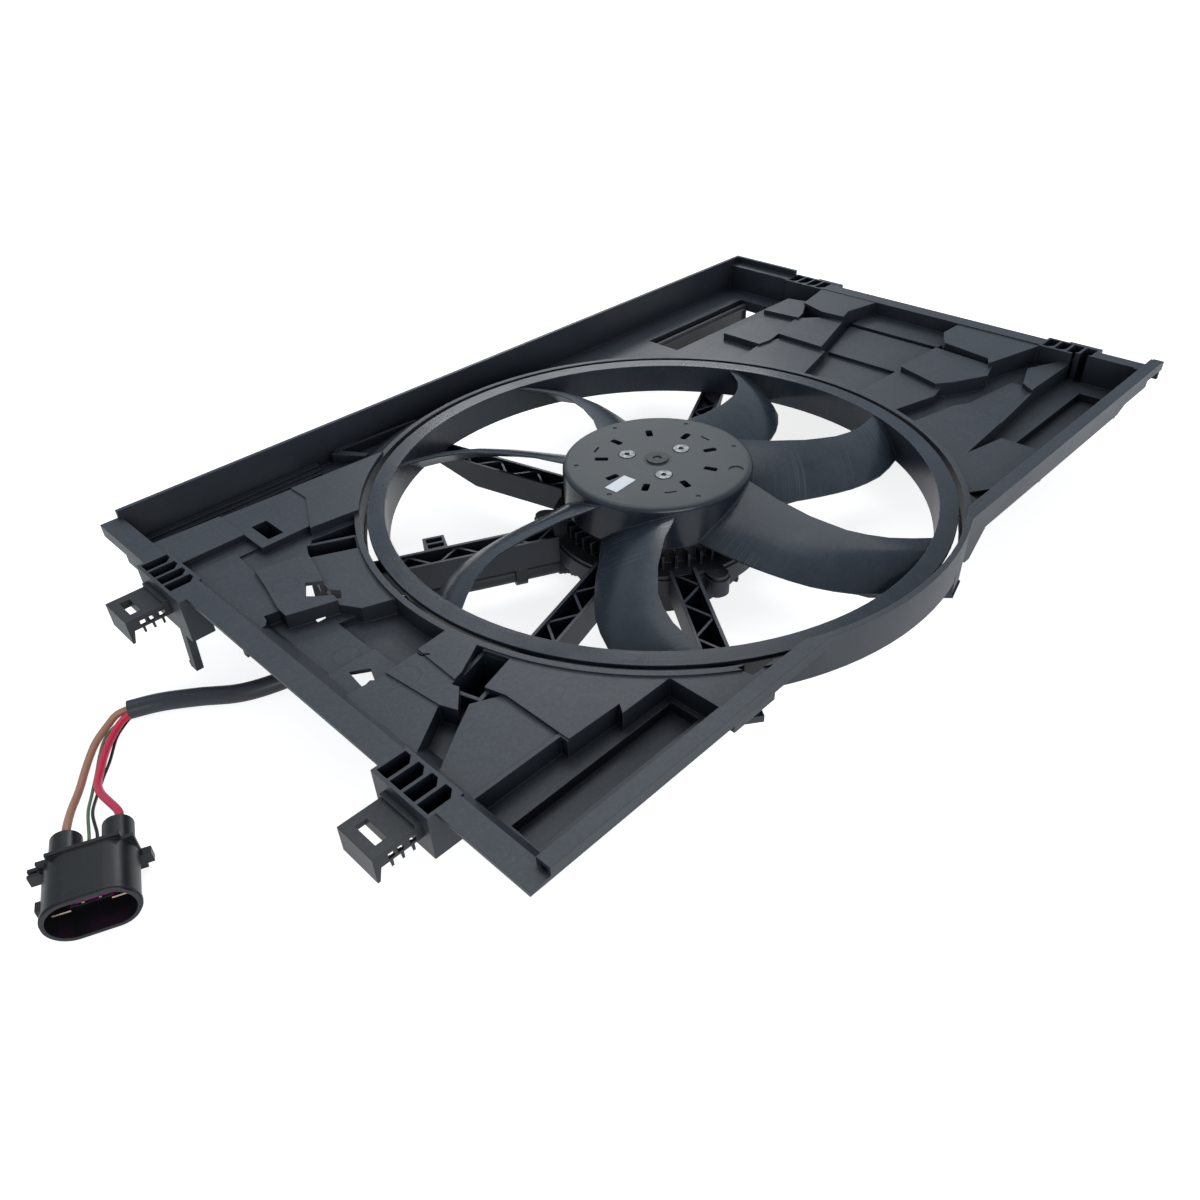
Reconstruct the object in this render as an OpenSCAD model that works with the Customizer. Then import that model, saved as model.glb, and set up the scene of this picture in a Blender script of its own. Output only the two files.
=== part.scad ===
// Radiator cooling fan: a moulded shroud plate with a seven-blade ring fan, an external-rotor motor,
// two hanging ram-air flaps, four retaining clips and a short power lead with its connector.
// Millimetres. The part lies on its motor with the radiator side up: +Z points at the radiator,
// X runs along the plate and the origin is on the floor, under the middle of the part's box.

/* [Plate] */
// Length of the shroud plate
plate_l = 680; // [674:1:686]
// Width of the shroud plate
plate_w = 426; // [422:1:430]
// Wall thickness of the shroud moulding
wall = 2.5; // [2.2:0.1:2.8]
// Width of the flat flange along both short edges
flange_w = 14; // [13:0.5:15]
// Depth of the flange's outer lip
flange_lip = 9; // [8:0.5:10]
// Height of the wall along the channel side above the flange
channel_wall_h = 6; // [5:0.5:8]
// Height of the rail along the other long side above the flange
rail_h = 5; // [4:0.5:7]
// Width of that rail
rail_w = 9; // [8:0.5:10]
// Depth of the stiffening ribs under the plate
rib_depth = 34; // [33:0.5:36]
// Depth of the channel floor
channel_depth = 24; // [23:0.5:25]

/* [Fan position] */
// Fan axis from the plate's middle, along the plate
fan_x = -46; // [-48:1:-44]
// Fan axis from the plate's middle, across the plate
fan_y = -20; // [-22:1:-18]

/* [Fan wheel] */
// Outer radius of the fan ring
ring_r = 200; // [198:0.5:201]
// Width of the fan ring's face
ring_face_w = 12; // [11:0.5:13]
// Depth of the fan ring
ring_h = 23; // [21:0.5:24]
// Wall of the fan ring
ring_wall = 3; // [2.5:0.1:3.5]
// Depth of the ring's face below the flange
ring_drop = 4; // [3.5:0.5:5]
// Radius of the hub
hub_r = 65.5; // [65:0.5:66]
// Height of the hub face above the flange
hub_top = 10; // [9.5:0.5:11]
// Height of the hub skirt
hub_h = 30; // [29:0.5:31]
// Wall of the hub
hub_wall = 3; // [2.6:0.1:3.2]
// Radius of the hub's rounded shoulder
hub_round = 4; // [3:0.5:5]
// Thickness of a blade
blade_t = 2.6; // [2.2:0.1:3]
// Upward bulge of a blade's section
blade_camber = 3.5; // [2:0.5:5]
// Slots in the hub face
hub_slots = 9; // [7:1:10]

/* [Shroud barrel and struts] */
// Running gap between the fan ring and the barrel
ring_gap = 4; // [3:0.5:5]
// Wall of the barrel
barrel_wall = 4; // [3:0.5:5]
// Width of a strut
strut_w = 18; // [16:0.5:19]
// Height of a strut
strut_h = 20; // [19:0.5:21]
// Wall of a strut
strut_wall = 2.2; // [2:0.1:2.5]
// Gap between the bottom of the fan ring and the struts
strut_gap = 3; // [2:0.5:4]
// Gap between the motor base and the carrier ring around it
carrier_gap = 10; // [9.5:0.5:11]
// Width of the motor carrier ring
carrier_w = 7; // [6:0.5:8]

/* [Motor] */
// Depth from the flange to the bottom of the motor
motor_depth = 80; // [78:0.5:84]
// Radius of the motor base
base_r = 60; // [59.5:0.5:60.5]
// Cooling fins around the motor base
fin_count = 48; // [36:1:54]
// Length of a cooling fin
fin_l = 7; // [6:0.5:8]
// Thickness of a cooling fin
fin_t = 1.6; // [1.4:0.1:2]
// Radius of the motor shaft
shaft_r = 4; // [3.8:0.1:4.2]
// Outer radius of a bearing
bearing_r = 11; // [10.8:0.1:11.2]
// Width of a bearing
bearing_w = 7; // [6.5:0.5:7.5]
// Outer radius of the stator stack
stator_r = 51; // [50.5:0.5:51.2]
// Teeth on the stator
stator_teeth = 12; // [9:3:12]
// Thickness of the rotor magnets
magnet_t = 5; // [4.5:0.5:5]
// Magnets in the rotor
magnet_count = 14; // [10:2:16]
// Wall of the rotor bell
bell_wall = 2.6; // [2.4:0.1:2.8]
// Radius of the circle of screws that carry the fan
fan_screw_circle = 22; // [21.5:0.5:23]
// Radius of a fan screw's shank
fan_screw_r = 2.5; // [2.3:0.1:2.6]
// Radius of a fan screw's head
fan_screw_head_r = 5.6; // [5.3:0.1:5.8]

/* [Flaps] */
// Height of the left flap
left_flap_h = 23; // [21:0.5:23.5]
// Height of the right flap
right_flap_h = 36; // [34:0.5:37]
// Thickness of a flap
flap_t = 2.2; // [2:0.1:2.6]
// Radius of a flap's hinge pin
flap_pin_r = 2.4; // [2.2:0.1:2.6]
// Distance of a flap's hinge below the flange
flap_hinge_depth = 30; // [29.5:0.5:30.5]

/* [Retaining clips] */
// How far a clip stands out of its block
clip_l = 27; // [26:0.5:28]
// Width of a clip
clip_w = 28; // [27:0.5:29]
// How far a clip block stands out of the plate's edge
block_out = 5; // [4:0.5:6]
// Length of a clip block along the edge
block_l = 44; // [43:0.5:45]
// Depth of a clip block
block_h = 28; // [27:0.5:30]

/* [Lead] */
// Diameter of the lead's sleeve
sleeve_d = 12; // [11:0.5:12]
// Diameter of the two power wires
power_wire_d = 4.6; // [4:0.1:4.6]
// Diameter of the two signal wires
signal_wire_d = 1.8; // [1.5:0.1:1.8]

/* [Connector] */
// Width of the connector's mouth
plug_w = 46; // [45:0.5:48]
// Height of the connector's mouth
plug_h = 28; // [27:0.5:28]
// Length from the connector's flange to its mouth
plug_l = 34; // [32:0.5:36]
// Wall of the connector
plug_wall = 2; // [1.8:0.1:2.4]
// Radius of a power boot
boot_r = 8; // [7.6:0.1:8.2]
// Length of the boots behind the flange
boot_l = 22; // [21:0.5:23]
// Width of a power terminal
power_blade_w = 9; // [8.6:0.1:9.4]

/* [Hidden] */
$fn = 96;

shroud_colour = "#3b3e42";
fan_colour = "#43484a";
steel_colour = "silver";

// A cut reaches this far past the face it opens
over = 1;
// Radial clearance of a shaft or pin in its bore
fit = 0.05;
// Gap between pieces that move past each other
run = 0.3;

ring_bore_r = ring_r - ring_face_w;
carrier_r = base_r + carrier_gap;
barrel_r = ring_r + ring_gap;
barrel_outer_r = barrel_r + barrel_wall;
barrel_bottom = -ring_drop - ring_h + 6;
strut_top = -ring_drop - ring_h - strut_gap;
strut_bottom = strut_top - strut_h;
hub_bottom = hub_top - hub_h;
edge_y = plate_w / 2;
end_x = plate_l / 2;
part_y = (barrel_outer_r - fan_y - edge_y) / 2;

// Moves the design frame, whose zero is the middle of the flange's plane, to the part's frame
module placed() translate([0, part_y, motor_depth]) children();
module on_fan_axis() placed() translate([fan_x, fan_y, 0]) children();
module at_angle(a) rotate([0, 0, a]) children();

function unit(v) = v / norm(v);
function left_of(v) = [-v.y, v.x];
function turn_at(p, i) = let (n = len(p), a = p[(i + n - 1) % n], b = p[i], c = p[(i + 1) % n])
    cross(b - a, c - b);
function winding(p) = let (n = len(p))
    sign([for (i = [0:n - 1]) cross(p[i], p[(i + 1) % n])] * [for (i = [0:n - 1]) 1]);
function inset_corner(a, b, c, d) =
    let (m = left_of(unit(b - a)), k = left_of(unit(c - b))) b + (m + k) * d / (1 + m * k);
// The outline moved inwards by d, with its corners kept sharp
function inset(p, d) = let (n = len(p), s = winding(p))
    [for (i = [0:n - 1]) inset_corner(p[(i + n - 1) % n], p[i], p[(i + 1) % n], d * s)];
// Half width of the plate for which the mosaic's outlines are given
drawn_half_w = 213;
function shifted(p, dx) = [for (q = p) [q.x + dx, q.y * edge_y / drawn_half_w]];
function polar(r, a) = [r * cos(a), r * sin(a)];
function box_points(x0, x1, y0, y1) = [[x0, y0], [x1, y0], [x1, y1], [x0, y1]];

module slab(p, low, high) translate([0, 0, low]) linear_extrude(high - low) polygon(p);
module box_at(x0, x1, y0, y1, z0, z1) translate([x0, y0, z0]) cube([x1 - x0, y1 - y0, z1 - z0]);
module ring_at(r_in, r_out, z0, z1) difference() {
    translate([0, 0, z0]) cylinder(r = r_out, h = z1 - z0);
    translate([0, 0, z0 - over]) cylinder(r = r_in, h = z1 - z0 + 2 * over);
}

// Mosaic of the shroud's panels. Each is [top height, outline]. The outline's x runs from the
// plate's left end, or its right end, and its y from the plate's middle line.
left_panels = [
    [-17, box_points(8, 230, -206, 190)],
    [-1, box_points(8, 60, 130, 168)],
    [-6, box_points(8, 67, 116, 134)],
    [-5, [[8, 40], [21, 38], [24, 42], [25, 47], [34, 45], [40, 70], [44, 88], [47, 120], [8, 120]]],
    [-2, [[60, 108], [97, 108], [113, 140], [113, 168], [60, 168]]],
    [-1, [[93, 104], [128, 99], [200, 90], [200, 168], [112, 168], [112, 140]]],
    [-7.5, [[42, 80], [76, 80], [90, 100], [128, 95], [128, 108], [46, 118], [42, 96]]],
    [-3, [[33, 35], [62, 25], [66, 46], [73, 68], [77, 82], [44, 90], [40, 70], [33.6, 45]]],
    [-6, [[62, 24], [66, 17], [69, 11.5], [92, 2.5], [140, -3], [140, 78], [76, 84], [73, 68], [66, 46]]],
    [-13, [[8, -22], [54.5, -22], [55.5, 18], [67, 16.5], [67, 40], [30, 55], [8, 55]]],
    [-10.5, [[8, -50], [54.5, -50], [54.5, -20], [8, -20]]],
    [-9, [[8, -48], [21, -48], [22, 36], [18, 42], [8, 42]]],
    [-6, [[8, -116], [15, -111], [48, -89], [44, -48], [8, -45]]],
    [-5, [[48, -90], [52, -100], [66, -84], [67, -47], [44, -48]]],
    [-4, [[65, -83], [98, -64], [150, -44], [92, -44], [67, -46]]],
    [-7, [[8, -190], [78, -190], [78, -108], [60, -99], [44, -109], [8, -133]]],
    [-5, [[76, -206], [230, -206], [230, -60], [102, -66], [70, -87], [76, -110]]],
];
right_panels = [
    [-17, box_points(-260, -8, -206, 150)],
    [-13, [[-240, 60], [-126, 72], [-140, 108], [-240, 110]]],
    [-9, [[-240, 0], [-172, 8], [-121, 21], [-121, 68], [-141, 75], [-240, 60]]],
    [-7, [[-148, 72], [-134, 70], [-78, 80], [-86, 112], [-148, 112]]],
    [-3, [[-84, 76], [-73, 79], [-45, 94], [-50, 112], [-88, 112]]],
    [-5, [[-123, 24], [-59, 43], [-68, 65], [-83, 80], [-122, 70]]],
    [-0.5, [[-62, 42], [-48, 46], [-12, 38], [-12, 98], [-55, 90], [-64, 64]]],
    [-14, [[-110, 24], [-48, 42], [-48, -46], [-110, -46]]],
    [-12, [[-46, 42], [-12, 42], [-12, -46], [-46, -46]]],
    [-9, [[-240, -75], [-190, -82], [-141, -95], [-125, -92], [-117, -48], [-240, -42]]],
    [-5, [[-128, -88], [-117, -97], [-88, -112], [-68, -106], [-63, -52], [-116, -50]]],
    [-1, [[-74, -105], [-12, -121], [-12, -46], [-38, -45], [-58, -57], [-65, -100]]],
    [-12, [[-280, -206], [-150, -206], [-144, -153], [-131, -118], [-141, -112], [-280, -82]]],
    [-14, [[-150, -160], [-70, -152], [-69, -125], [-128, -117]]],
    [-10, [[-84, -152], [-12, -152], [-12, -140], [-44, -126], [-73, -136]]],
];
// Windows through the mosaic, from the left end
left_windows = [
    [[51, 43], [54.5, 39], [63.5, 31], [66.5, 29], [70.5, 36], [66.5, 41.5], [67, 48.5], [58.5, 55]],
    [[31.5, -43], [37.5, -41], [39.5, -43], [43.5, -33], [33.5, -26.5]],
];
// Room under those windows, so that the moulding's ribs leave them open: [x from, x to, y from, y to, top]
window_rooms = [[48, 96, 28, 100, -12], [28, 53, -44, 12, -17]];
// Short groove where four facets meet
facet_groove = [[65, -47], [66, -47], [66, -50.5], [69.5, -54], [68.5, -55], [65, -51]];
blind_window = box_points(68, 79, 114, 136);

// Trays and pockets: [floor, top of the walls round them, outline]
left_wells = [
    [-18, -6, [[20, -193], [143, -193], [143, -164], [107, -164], [111, -158], [75, -157],
        [75, -152], [20, -152]]],
    [-14, -6, box_points(20, 143, -197, -190)],
    [-25, -18, box_points(27, 140, -187, -168)],
];
right_wells = [
    [-24, -13, [[-167, -197], [-12, -197], [-12, -148], [-76, -147], [-144, -153], [-203, -157],
        [-167, -165]]],
    [-31, -24, box_points(-163, -32, -188, -168)],
];
corner_pocket = [[fan_x + 126, -edge_y + 16], [fan_x + 142, -edge_y + 11], [fan_x + 146, -edge_y + 20],
    [fan_x + 132, -edge_y + 29]];
rail_pocket = [[fan_x - 122, -edge_y + 27], [fan_x - 120, -edge_y + 18], [fan_x - 104, -edge_y + 17],
    [fan_x - 109, -edge_y + 24]];

// Channel along the far long side
channel_inner_y = edge_y - 47;
channel_right_y = edge_y - 79;
channel_outline = [[-end_x + 8, channel_inner_y], [end_x - 190, channel_right_y], [end_x - 8, channel_right_y],
    [end_x - 8, edge_y - 1], [-end_x + 8, edge_y - 1]];
cone_slope_r = barrel_outer_r + 30;

// Slots of the two flaps: [x from, x to, y from, y to]
left_slot = [-end_x + 24, -end_x + 158, edge_y - 42, edge_y - 13];
right_slot = [end_x - 174, end_x - 34, edge_y - 75, edge_y - 33];
slot_frame = 3;
hinge_inset = 5;
// Depth of the rail's outer wall and of the shallow rim behind it
rail_depth = 12;
rim_depth = 24;
pocket_depth = 16;
// Gusset beside the barrel, and how far it stands from where the opening leaves the rail
gusset_gap = 10.9167;
gusset_x = sqrt(pow(barrel_r, 2) - pow(edge_y + fan_y, 2)) + gusset_gap;
// How far along the left edge the sloping web runs
web_y = 150;
flap_end_gap = 1;

struts = [
    // [angle, kind of root: 0 on the barrel, 1 closed box, 2 pocket open at the top, length of the root]
    [28, 1, 34], [103, 0, 0], [153, 2, 34], [197, 2, 34], [234, 1, 12], [285, 0, 0], [338, 1, 34]
];
root_open = 17;
// Where a strut's underside starts to rise, and how low it ends at the barrel
taper_r = barrel_r - 46;
root_bottom = strut_top - 3;
zigzag_pitch = 17;
cable_angle = 153;
carrier_top = strut_top - 8;
ear_angles = [251, 11, 131];
ear_circle = carrier_r + carrier_w + 4;
ear_r = 8;
motor_screw_r = 2.5;

// The clip blocks: [side, middle of the block, middle of the clip], left side first
block_a_y = 125;
block_d_y = -128;
block_b_y = 118;
block_c_y = -142;
block_in = 16;
block_wall = 2;
clip_drop = 10;
tongue_w = 10;
tongue_h = 8;
tongue_l = 6;
clip_offset = 1;

// Shroud

module panel_solids(list, from_x) for (q = list)
    slab(shifted(q[1], from_x), -rib_depth, q[0]);
module panel_hollows(list, from_x) for (q = list)
    slab(inset(shifted(q[1], from_x), wall), -rib_depth - over, q[0] - wall);

module well_walls(list, from_x) for (q = list)
    slab(inset(shifted(q[2], from_x), -wall), q[0] - wall, q[1]);
module well_cuts(list, from_x) for (q = list)
    slab(shifted(q[2], from_x), q[0], channel_wall_h + over);

module edge_frame() {
    for (side = [-1, 1]) {
        x_out = side * end_x;
        x_in = side * (end_x - flange_w);
        box_at(min(x_in, x_out), max(x_in, x_out), -edge_y, edge_y, -wall, 0);
        x_lip = side * (end_x - wall);
        box_at(min(x_lip, x_out), max(x_lip, x_out), side < 0 ? web_y : -edge_y, edge_y, -flange_lip, 0);
        x_skirt = side * (end_x - flange_w + wall);
        box_at(min(x_in, x_skirt), max(x_in, x_skirt), -edge_y + rail_w, edge_y - 3, -rib_depth, 0);
    }
}

// Sloping web from the left flange down to the panels
module left_web() translate([-end_x, -edge_y + rail_w - 1, 0]) rotate([90, 0, 0])
    mirror([0, 0, 1]) linear_extrude(web_y + edge_y - rail_w + 2)
        polygon([[flange_w - 3.5, 0], [flange_w, 0], [flange_w + 19, -19], [flange_w + 19, -22.5]]);

module rail() {
    box_at(-end_x + 12, end_x, -edge_y, -edge_y + rail_w, rail_h - wall, rail_h);
    translate([0, -edge_y + wall, 0]) rotate([90, 0, 0]) linear_extrude(wall)
        polygon([[-end_x + 12, -wall], [fan_x, -wall], [fan_x, -rail_depth], [end_x - 78, -rail_depth],
            [end_x - 50, -2], [end_x, -2], [end_x, rail_h], [-end_x + 12, rail_h]]);
    box_at(-end_x + 12, end_x, -edge_y + rail_w - wall, -edge_y + rail_w, -rim_depth, rail_h);
    box_at(-end_x, end_x, -edge_y, -edge_y + rail_w, -wall, 0);
    // Rounded hook past the corner
    box_at(end_x - 3, end_x + 4, -edge_y, -edge_y + 3, -3, rail_h - 1);
    box_at(end_x + 2, end_x + 4, -edge_y, -edge_y + 8, -3, rail_h - 1);
}

module channel() {
    difference() {
        slab(channel_outline, -rib_depth, -channel_depth);
        slab(inset(channel_outline, wall), -rib_depth - over, -channel_depth - wall);
    }
    box_at(-end_x + 12, end_x, edge_y - 3, edge_y, -rib_depth, channel_wall_h);
    box_at(-end_x, end_x, edge_y - 3, edge_y, -flange_lip, 0);
    box_at(end_x - 3, end_x, channel_right_y, edge_y, -rib_depth, channel_wall_h);
    box_at(end_x - flange_w, end_x - 2, channel_right_y, edge_y - 1, -channel_depth - 1, -5);
    // Two ledges between the wall and the left flap
    box_at(-end_x + 12, -end_x + 160, edge_y - 7, edge_y - 2, -channel_depth - 1, -channel_depth + 4);
    box_at(-end_x + 12, -end_x + 160, edge_y - 10, edge_y - 2, -channel_depth - 1, -channel_depth + 1.5);
    // Slanted rib beside the barrel
    slab(shifted([[-168, 206], [-152, 184], [-148, 186], [-160, 207], [-90, 203], [-90, 205],
        [-160, 211]], 0), -channel_depth - 1, -16);
}

// Sloping skirt from the barrel's rim down to the channel floor
module barrel_cone() intersection() {
    translate([fan_x, fan_y, 0]) rotate_extrude()
        polygon([[barrel_outer_r - 1, -ring_drop], [barrel_outer_r, -ring_drop],
            [cone_slope_r, -channel_depth], [cone_slope_r, -channel_depth - wall],
            [barrel_outer_r - 1, -ring_drop - 2 * wall]]);
    box_at(fan_x - 110, fan_x + 190, channel_inner_y - 26, edge_y - 2, -rib_depth, 0);
}

module slot_frame_solid(s) box_at(s[0] - slot_frame, s[1] + slot_frame, s[2] - slot_frame,
    s[3] + slot_frame, -rib_depth, -channel_depth);
module slot_cut(s) box_at(s[0], s[1], s[2], s[3], -rib_depth - over, channel_wall_h + over);
module hinge_bore(s) translate([s[0] - slot_frame - over, s[3] - hinge_inset, -flap_hinge_depth])
    rotate([0, 90, 0]) cylinder(r = flap_pin_r + fit, h = s[1] - s[0] + 2 * slot_frame + 2 * over);

module barrel() translate([fan_x, fan_y, 0]) {
    ring_at(barrel_r, barrel_outer_r, barrel_bottom, -ring_drop);
    ring_at(barrel_r - 1.5, barrel_outer_r, barrel_bottom, barrel_bottom + wall);
}

// Side view of what is cut from under a strut, and of the sloping floor that closes it again
module taper_side(rise, low) polygon([[taper_r, strut_bottom + low], [barrel_outer_r + 1, root_bottom + low],
    [barrel_outer_r + 1, root_bottom + rise], [taper_r, strut_bottom + rise]]);
module across(width) rotate([90, 0, 0]) translate([0, 0, -width / 2]) linear_extrude(width) children();

module tapered_strut(angle) difference() {
    union() {
        strut(angle);
        translate([fan_x, fan_y, 0]) at_angle(angle) across(strut_w) taper_side(strut_wall, 0);
    }
    translate([fan_x, fan_y, 0]) at_angle(angle) across(strut_w + 2) taper_side(0, -strut_h - 4);
}

module strut(angle) translate([fan_x, fan_y, 0]) at_angle(angle) {
    r0 = carrier_r + carrier_w - 1;
    r1 = barrel_outer_r - 1;
    half = strut_w / 2;
    box_at(barrel_r + 0.5, barrel_outer_r, -half, half, strut_bottom, barrel_bottom + 3);
    box_at(r0, r1, -half, half, strut_bottom, strut_bottom + strut_wall);
    for (s = [-1, 1]) box_at(r0, r1, s * half - (s > 0 ? strut_wall : 0),
        s * half + (s < 0 ? strut_wall : 0), strut_bottom, strut_top);
    zigzag_ribs(r0, r1, half);
}

module zigzag_ribs(r0, r1, half) {
    count = floor((r1 - r0) / zigzag_pitch);
    lean = atan2(strut_w - strut_wall, zigzag_pitch);
    reach = norm([strut_w - strut_wall, zigzag_pitch]);
    for (i = [0:count - 1]) {
        s = i % 2 == 0 ? 1 : -1;
        translate([r0 + i * zigzag_pitch, -s * (half - strut_wall / 2), strut_bottom])
            rotate([0, 0, s * lean])
                translate([0, -0.9, 0]) cube([reach, 1.8, strut_h - 2]);
    }
}

module strut_root_solid(angle, kind, l) translate([fan_x, fan_y, 0]) at_angle(angle)
    box_at(barrel_r + 1, barrel_outer_r + l, -strut_w / 2 - 2, strut_w / 2 + 2,
        kind == 2 ? strut_bottom : root_bottom + 0.5, kind == 2 ? -8 : -rib_depth + 6);
module strut_root_cut(angle, kind, l) translate([fan_x, fan_y, 0]) at_angle(angle)
    box_at(barrel_outer_r + 1, barrel_outer_r + l - strut_wall, -root_open / 2, root_open / 2,
        strut_bottom + strut_wall, channel_wall_h);

module carrier() translate([fan_x, fan_y, 0]) {
    difference() {
        union() {
            ring_at(carrier_r, carrier_r + carrier_w, strut_bottom, carrier_top);
            for (a = ear_angles) translate(concat(polar(ear_circle, a), strut_bottom))
                cylinder(r = ear_r, h = carrier_top - strut_bottom);
        }
        translate([0, 0, strut_bottom - over])
            cylinder(r = carrier_r, h = carrier_top - strut_bottom + 2 * over);
        for (a = ear_angles) translate(concat(polar(ear_circle, a), strut_bottom - over))
            cylinder(r = motor_screw_r + 0.2, h = carrier_top - strut_bottom + 2 * over);
    }
}

// Small two-hole bracket on the strut that carries the lead
module lead_bracket() translate([fan_x, fan_y, 0]) at_angle(cable_angle) difference() {
    box_at(150, 165, -strut_w / 2 - 15, -strut_w / 2 + 1, strut_top - 12, strut_top);
    for (y = [-strut_w / 2 - 13, -strut_w / 2 - 6])
        box_at(152, 163, y, y + 5, strut_top - 10, strut_top + over);
}

module block_solid(side, y) {
    x_out = side * (end_x + block_out);
    x_in = side * (end_x - block_in);
    box_at(min(x_in, x_out), max(x_in, x_out), y - block_l / 2, y + block_l / 2, -block_h, 0);
}
// Four ribbed pockets, each with one chamfered corner
module block_pockets(side, y) {
    pitch = (block_l - block_wall) / 4;
    x_out = end_x + block_out - block_wall;
    x_in = end_x - block_in + block_wall;
    for (i = [0:3]) {
        y0 = y - block_l / 2 + block_wall + i * pitch;
        y1 = y0 + pitch - block_wall;
        pts = [[x_in + 4, y0], [x_out, y0], [x_out, y1], [x_in, y1], [x_in, y0 + 4]];
        slab([for (q = pts) [side * q.x, q.y]], -block_h + block_wall, channel_wall_h);
    }
}
module tongue_slot(side, y) {
    x0 = side * (end_x + block_out - tongue_l - run);
    x1 = side * (end_x + block_out + over);
    box_at(min(x0, x1), max(x0, x1), y - tongue_w / 2 - run, y + tongue_w / 2 + run,
        -clip_drop - tongue_h - 2 - run, -clip_drop - 2 + run);
}

// Leaning hooked peg under the first block, and the lug beside that block
module peg() {
    x0 = -end_x - block_out;
    y0 = block_a_y - block_l / 2 - 13;
    difference() {
        box_at(x0, -end_x + 10, y0, y0 + 14, -30, 0);
        box_at(x0 + wall, -end_x + 10 - wall, y0 + wall, y0 + 14 - wall, -30 - over, -wall);
    }
    translate([x0 + 4, block_a_y - 13, -block_h]) rotate([90, 0, 90]) linear_extrude(5)
        polygon([[0, 1], [7, 1], [14, -42], [16, -41], [15, -45], [7, -45]]);
}

// Small lugs on the rail's and the flange's outside
module rail_lugs() {
    for (x = [end_x - 208, end_x - 82]) box_at(x, x + 3, -edge_y + 0.5, -edge_y + 4, -rail_depth - 1.5, -6);
    box_at(-end_x + 137, -end_x + 170, -edge_y + 1, -edge_y + rail_w - 1, -9, -1);
    box_at(-end_x + 0.5, -end_x + 3, 22, 26, -7, -1);
    // Gusset between the rail and the barrel
    translate([fan_x + gusset_x, -edge_y + 4, 0]) rotate([90, 0, 0]) linear_extrude(3)
        polygon([[0, -9], [31, -9], [11, -31], [5, -31], [0, -22]]);
}
// What keeps the underside's rim behind the rail and the left flange shallow
module near_slope(x0, x1, top) translate([x0, 0, 0]) rotate([90, 0, 90]) linear_extrude(x1 - x0)
    polygon([[-edge_y - 2, top + 2], [-edge_y + 40, top - 40], [-edge_y - 2, top - 40]]);
module left_slope(top) translate([0, -edge_y - over, 0]) rotate([90, 0, 0]) mirror([0, 0, 1])
    linear_extrude(web_y + edge_y + over)
        polygon([[-end_x - 2, top + 2], [-end_x + 40, top - 40], [-end_x - 2, top - 40]]);
module rim_cut() {
    near_slope(-end_x - over, fan_x, -wall);
    near_slope(fan_x - over, end_x + over, -rail_depth);
    left_slope(-wall);
}
// Collar that carries the rail's height round the barrel where it stands out past the rail
module rail_collar() intersection() {
    translate([fan_x, fan_y, 0]) ring_at(barrel_r + 0.5, barrel_outer_r, barrel_bottom + 2, rail_h);
    box_at(fan_x - 150, fan_x + 150, -edge_y - 40, -edge_y + rail_w - 0.5, barrel_bottom, rail_h + 1);
}

module blade_hole_cut() translate([fan_x, fan_y, -rib_depth - over])
    cylinder(r = barrel_r + 1, h = rib_depth + channel_wall_h + 2 * over);

module shroud() color(shroud_colour) placed() difference() {
    union() {
        difference() {
            union() {
                panel_solids(left_panels, -end_x);
                panel_solids(right_panels, end_x);
            }
            panel_hollows(left_panels, -end_x);
            panel_hollows(right_panels, end_x);
            slab(inset(channel_outline, 0.5), -rib_depth - over, channel_wall_h);
            blade_hole_cut();
            rim_cut();
            for (r = window_rooms) box_at(-end_x + r[0], -end_x + r[1], r[2], r[3], -rib_depth - over, r[4]);
        }
        difference() {
            union() {
                edge_frame();
                left_web();
                rail();
                channel();
                well_walls(left_wells, -end_x);
                well_walls(right_wells, end_x);
                slab(inset(shifted(blind_window, -end_x), -wall), -18, -4);
                slab(inset(corner_pocket, -wall), -pocket_depth - wall, -14);
                slab(inset(rail_pocket, -wall), -pocket_depth - wall, -6);
                slot_frame_solid(left_slot);
                slot_frame_solid(right_slot);
                barrel_cone();
            }
            blade_hole_cut();
            rim_cut();
        }
        rail_lugs();
        rail_collar();
        barrel();
        for (s = struts) {
            if (s[1] == 2) strut(s[0]);
            else tapered_strut(s[0]);
            if (s[1] > 0) strut_root_solid(s[0], s[1], s[2]);
        }
        carrier();
        lead_bracket();
        block_solid(-1, block_a_y);
        block_solid(-1, block_d_y);
        block_solid(1, block_b_y);
        block_solid(1, block_c_y);
        peg();
    }
    well_cuts(left_wells, -end_x);
    well_cuts(right_wells, end_x);
    slab(shifted(blind_window, -end_x), -16, over);
    slab(corner_pocket, -pocket_depth, over);
    slab(rail_pocket, -pocket_depth, over);
    slab(shifted(facet_groove, -end_x), -7.5, over);
    for (w = left_windows) slab(shifted(w, -end_x), -rib_depth - over, channel_wall_h);
    slot_cut(left_slot);
    slot_cut(right_slot);
    hinge_bore(left_slot);
    hinge_bore(right_slot);
    for (s = struts) if (s[1] == 2) strut_root_cut(s[0], s[1], s[2]);
    for (b = [[-1, block_a_y], [-1, block_d_y], [1, block_b_y], [1, block_c_y]]) {
        block_pockets(b[0], b[1]);
        tongue_slot(b[0], b[1] - clip_offset);
    }
}

// Flaps

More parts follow.
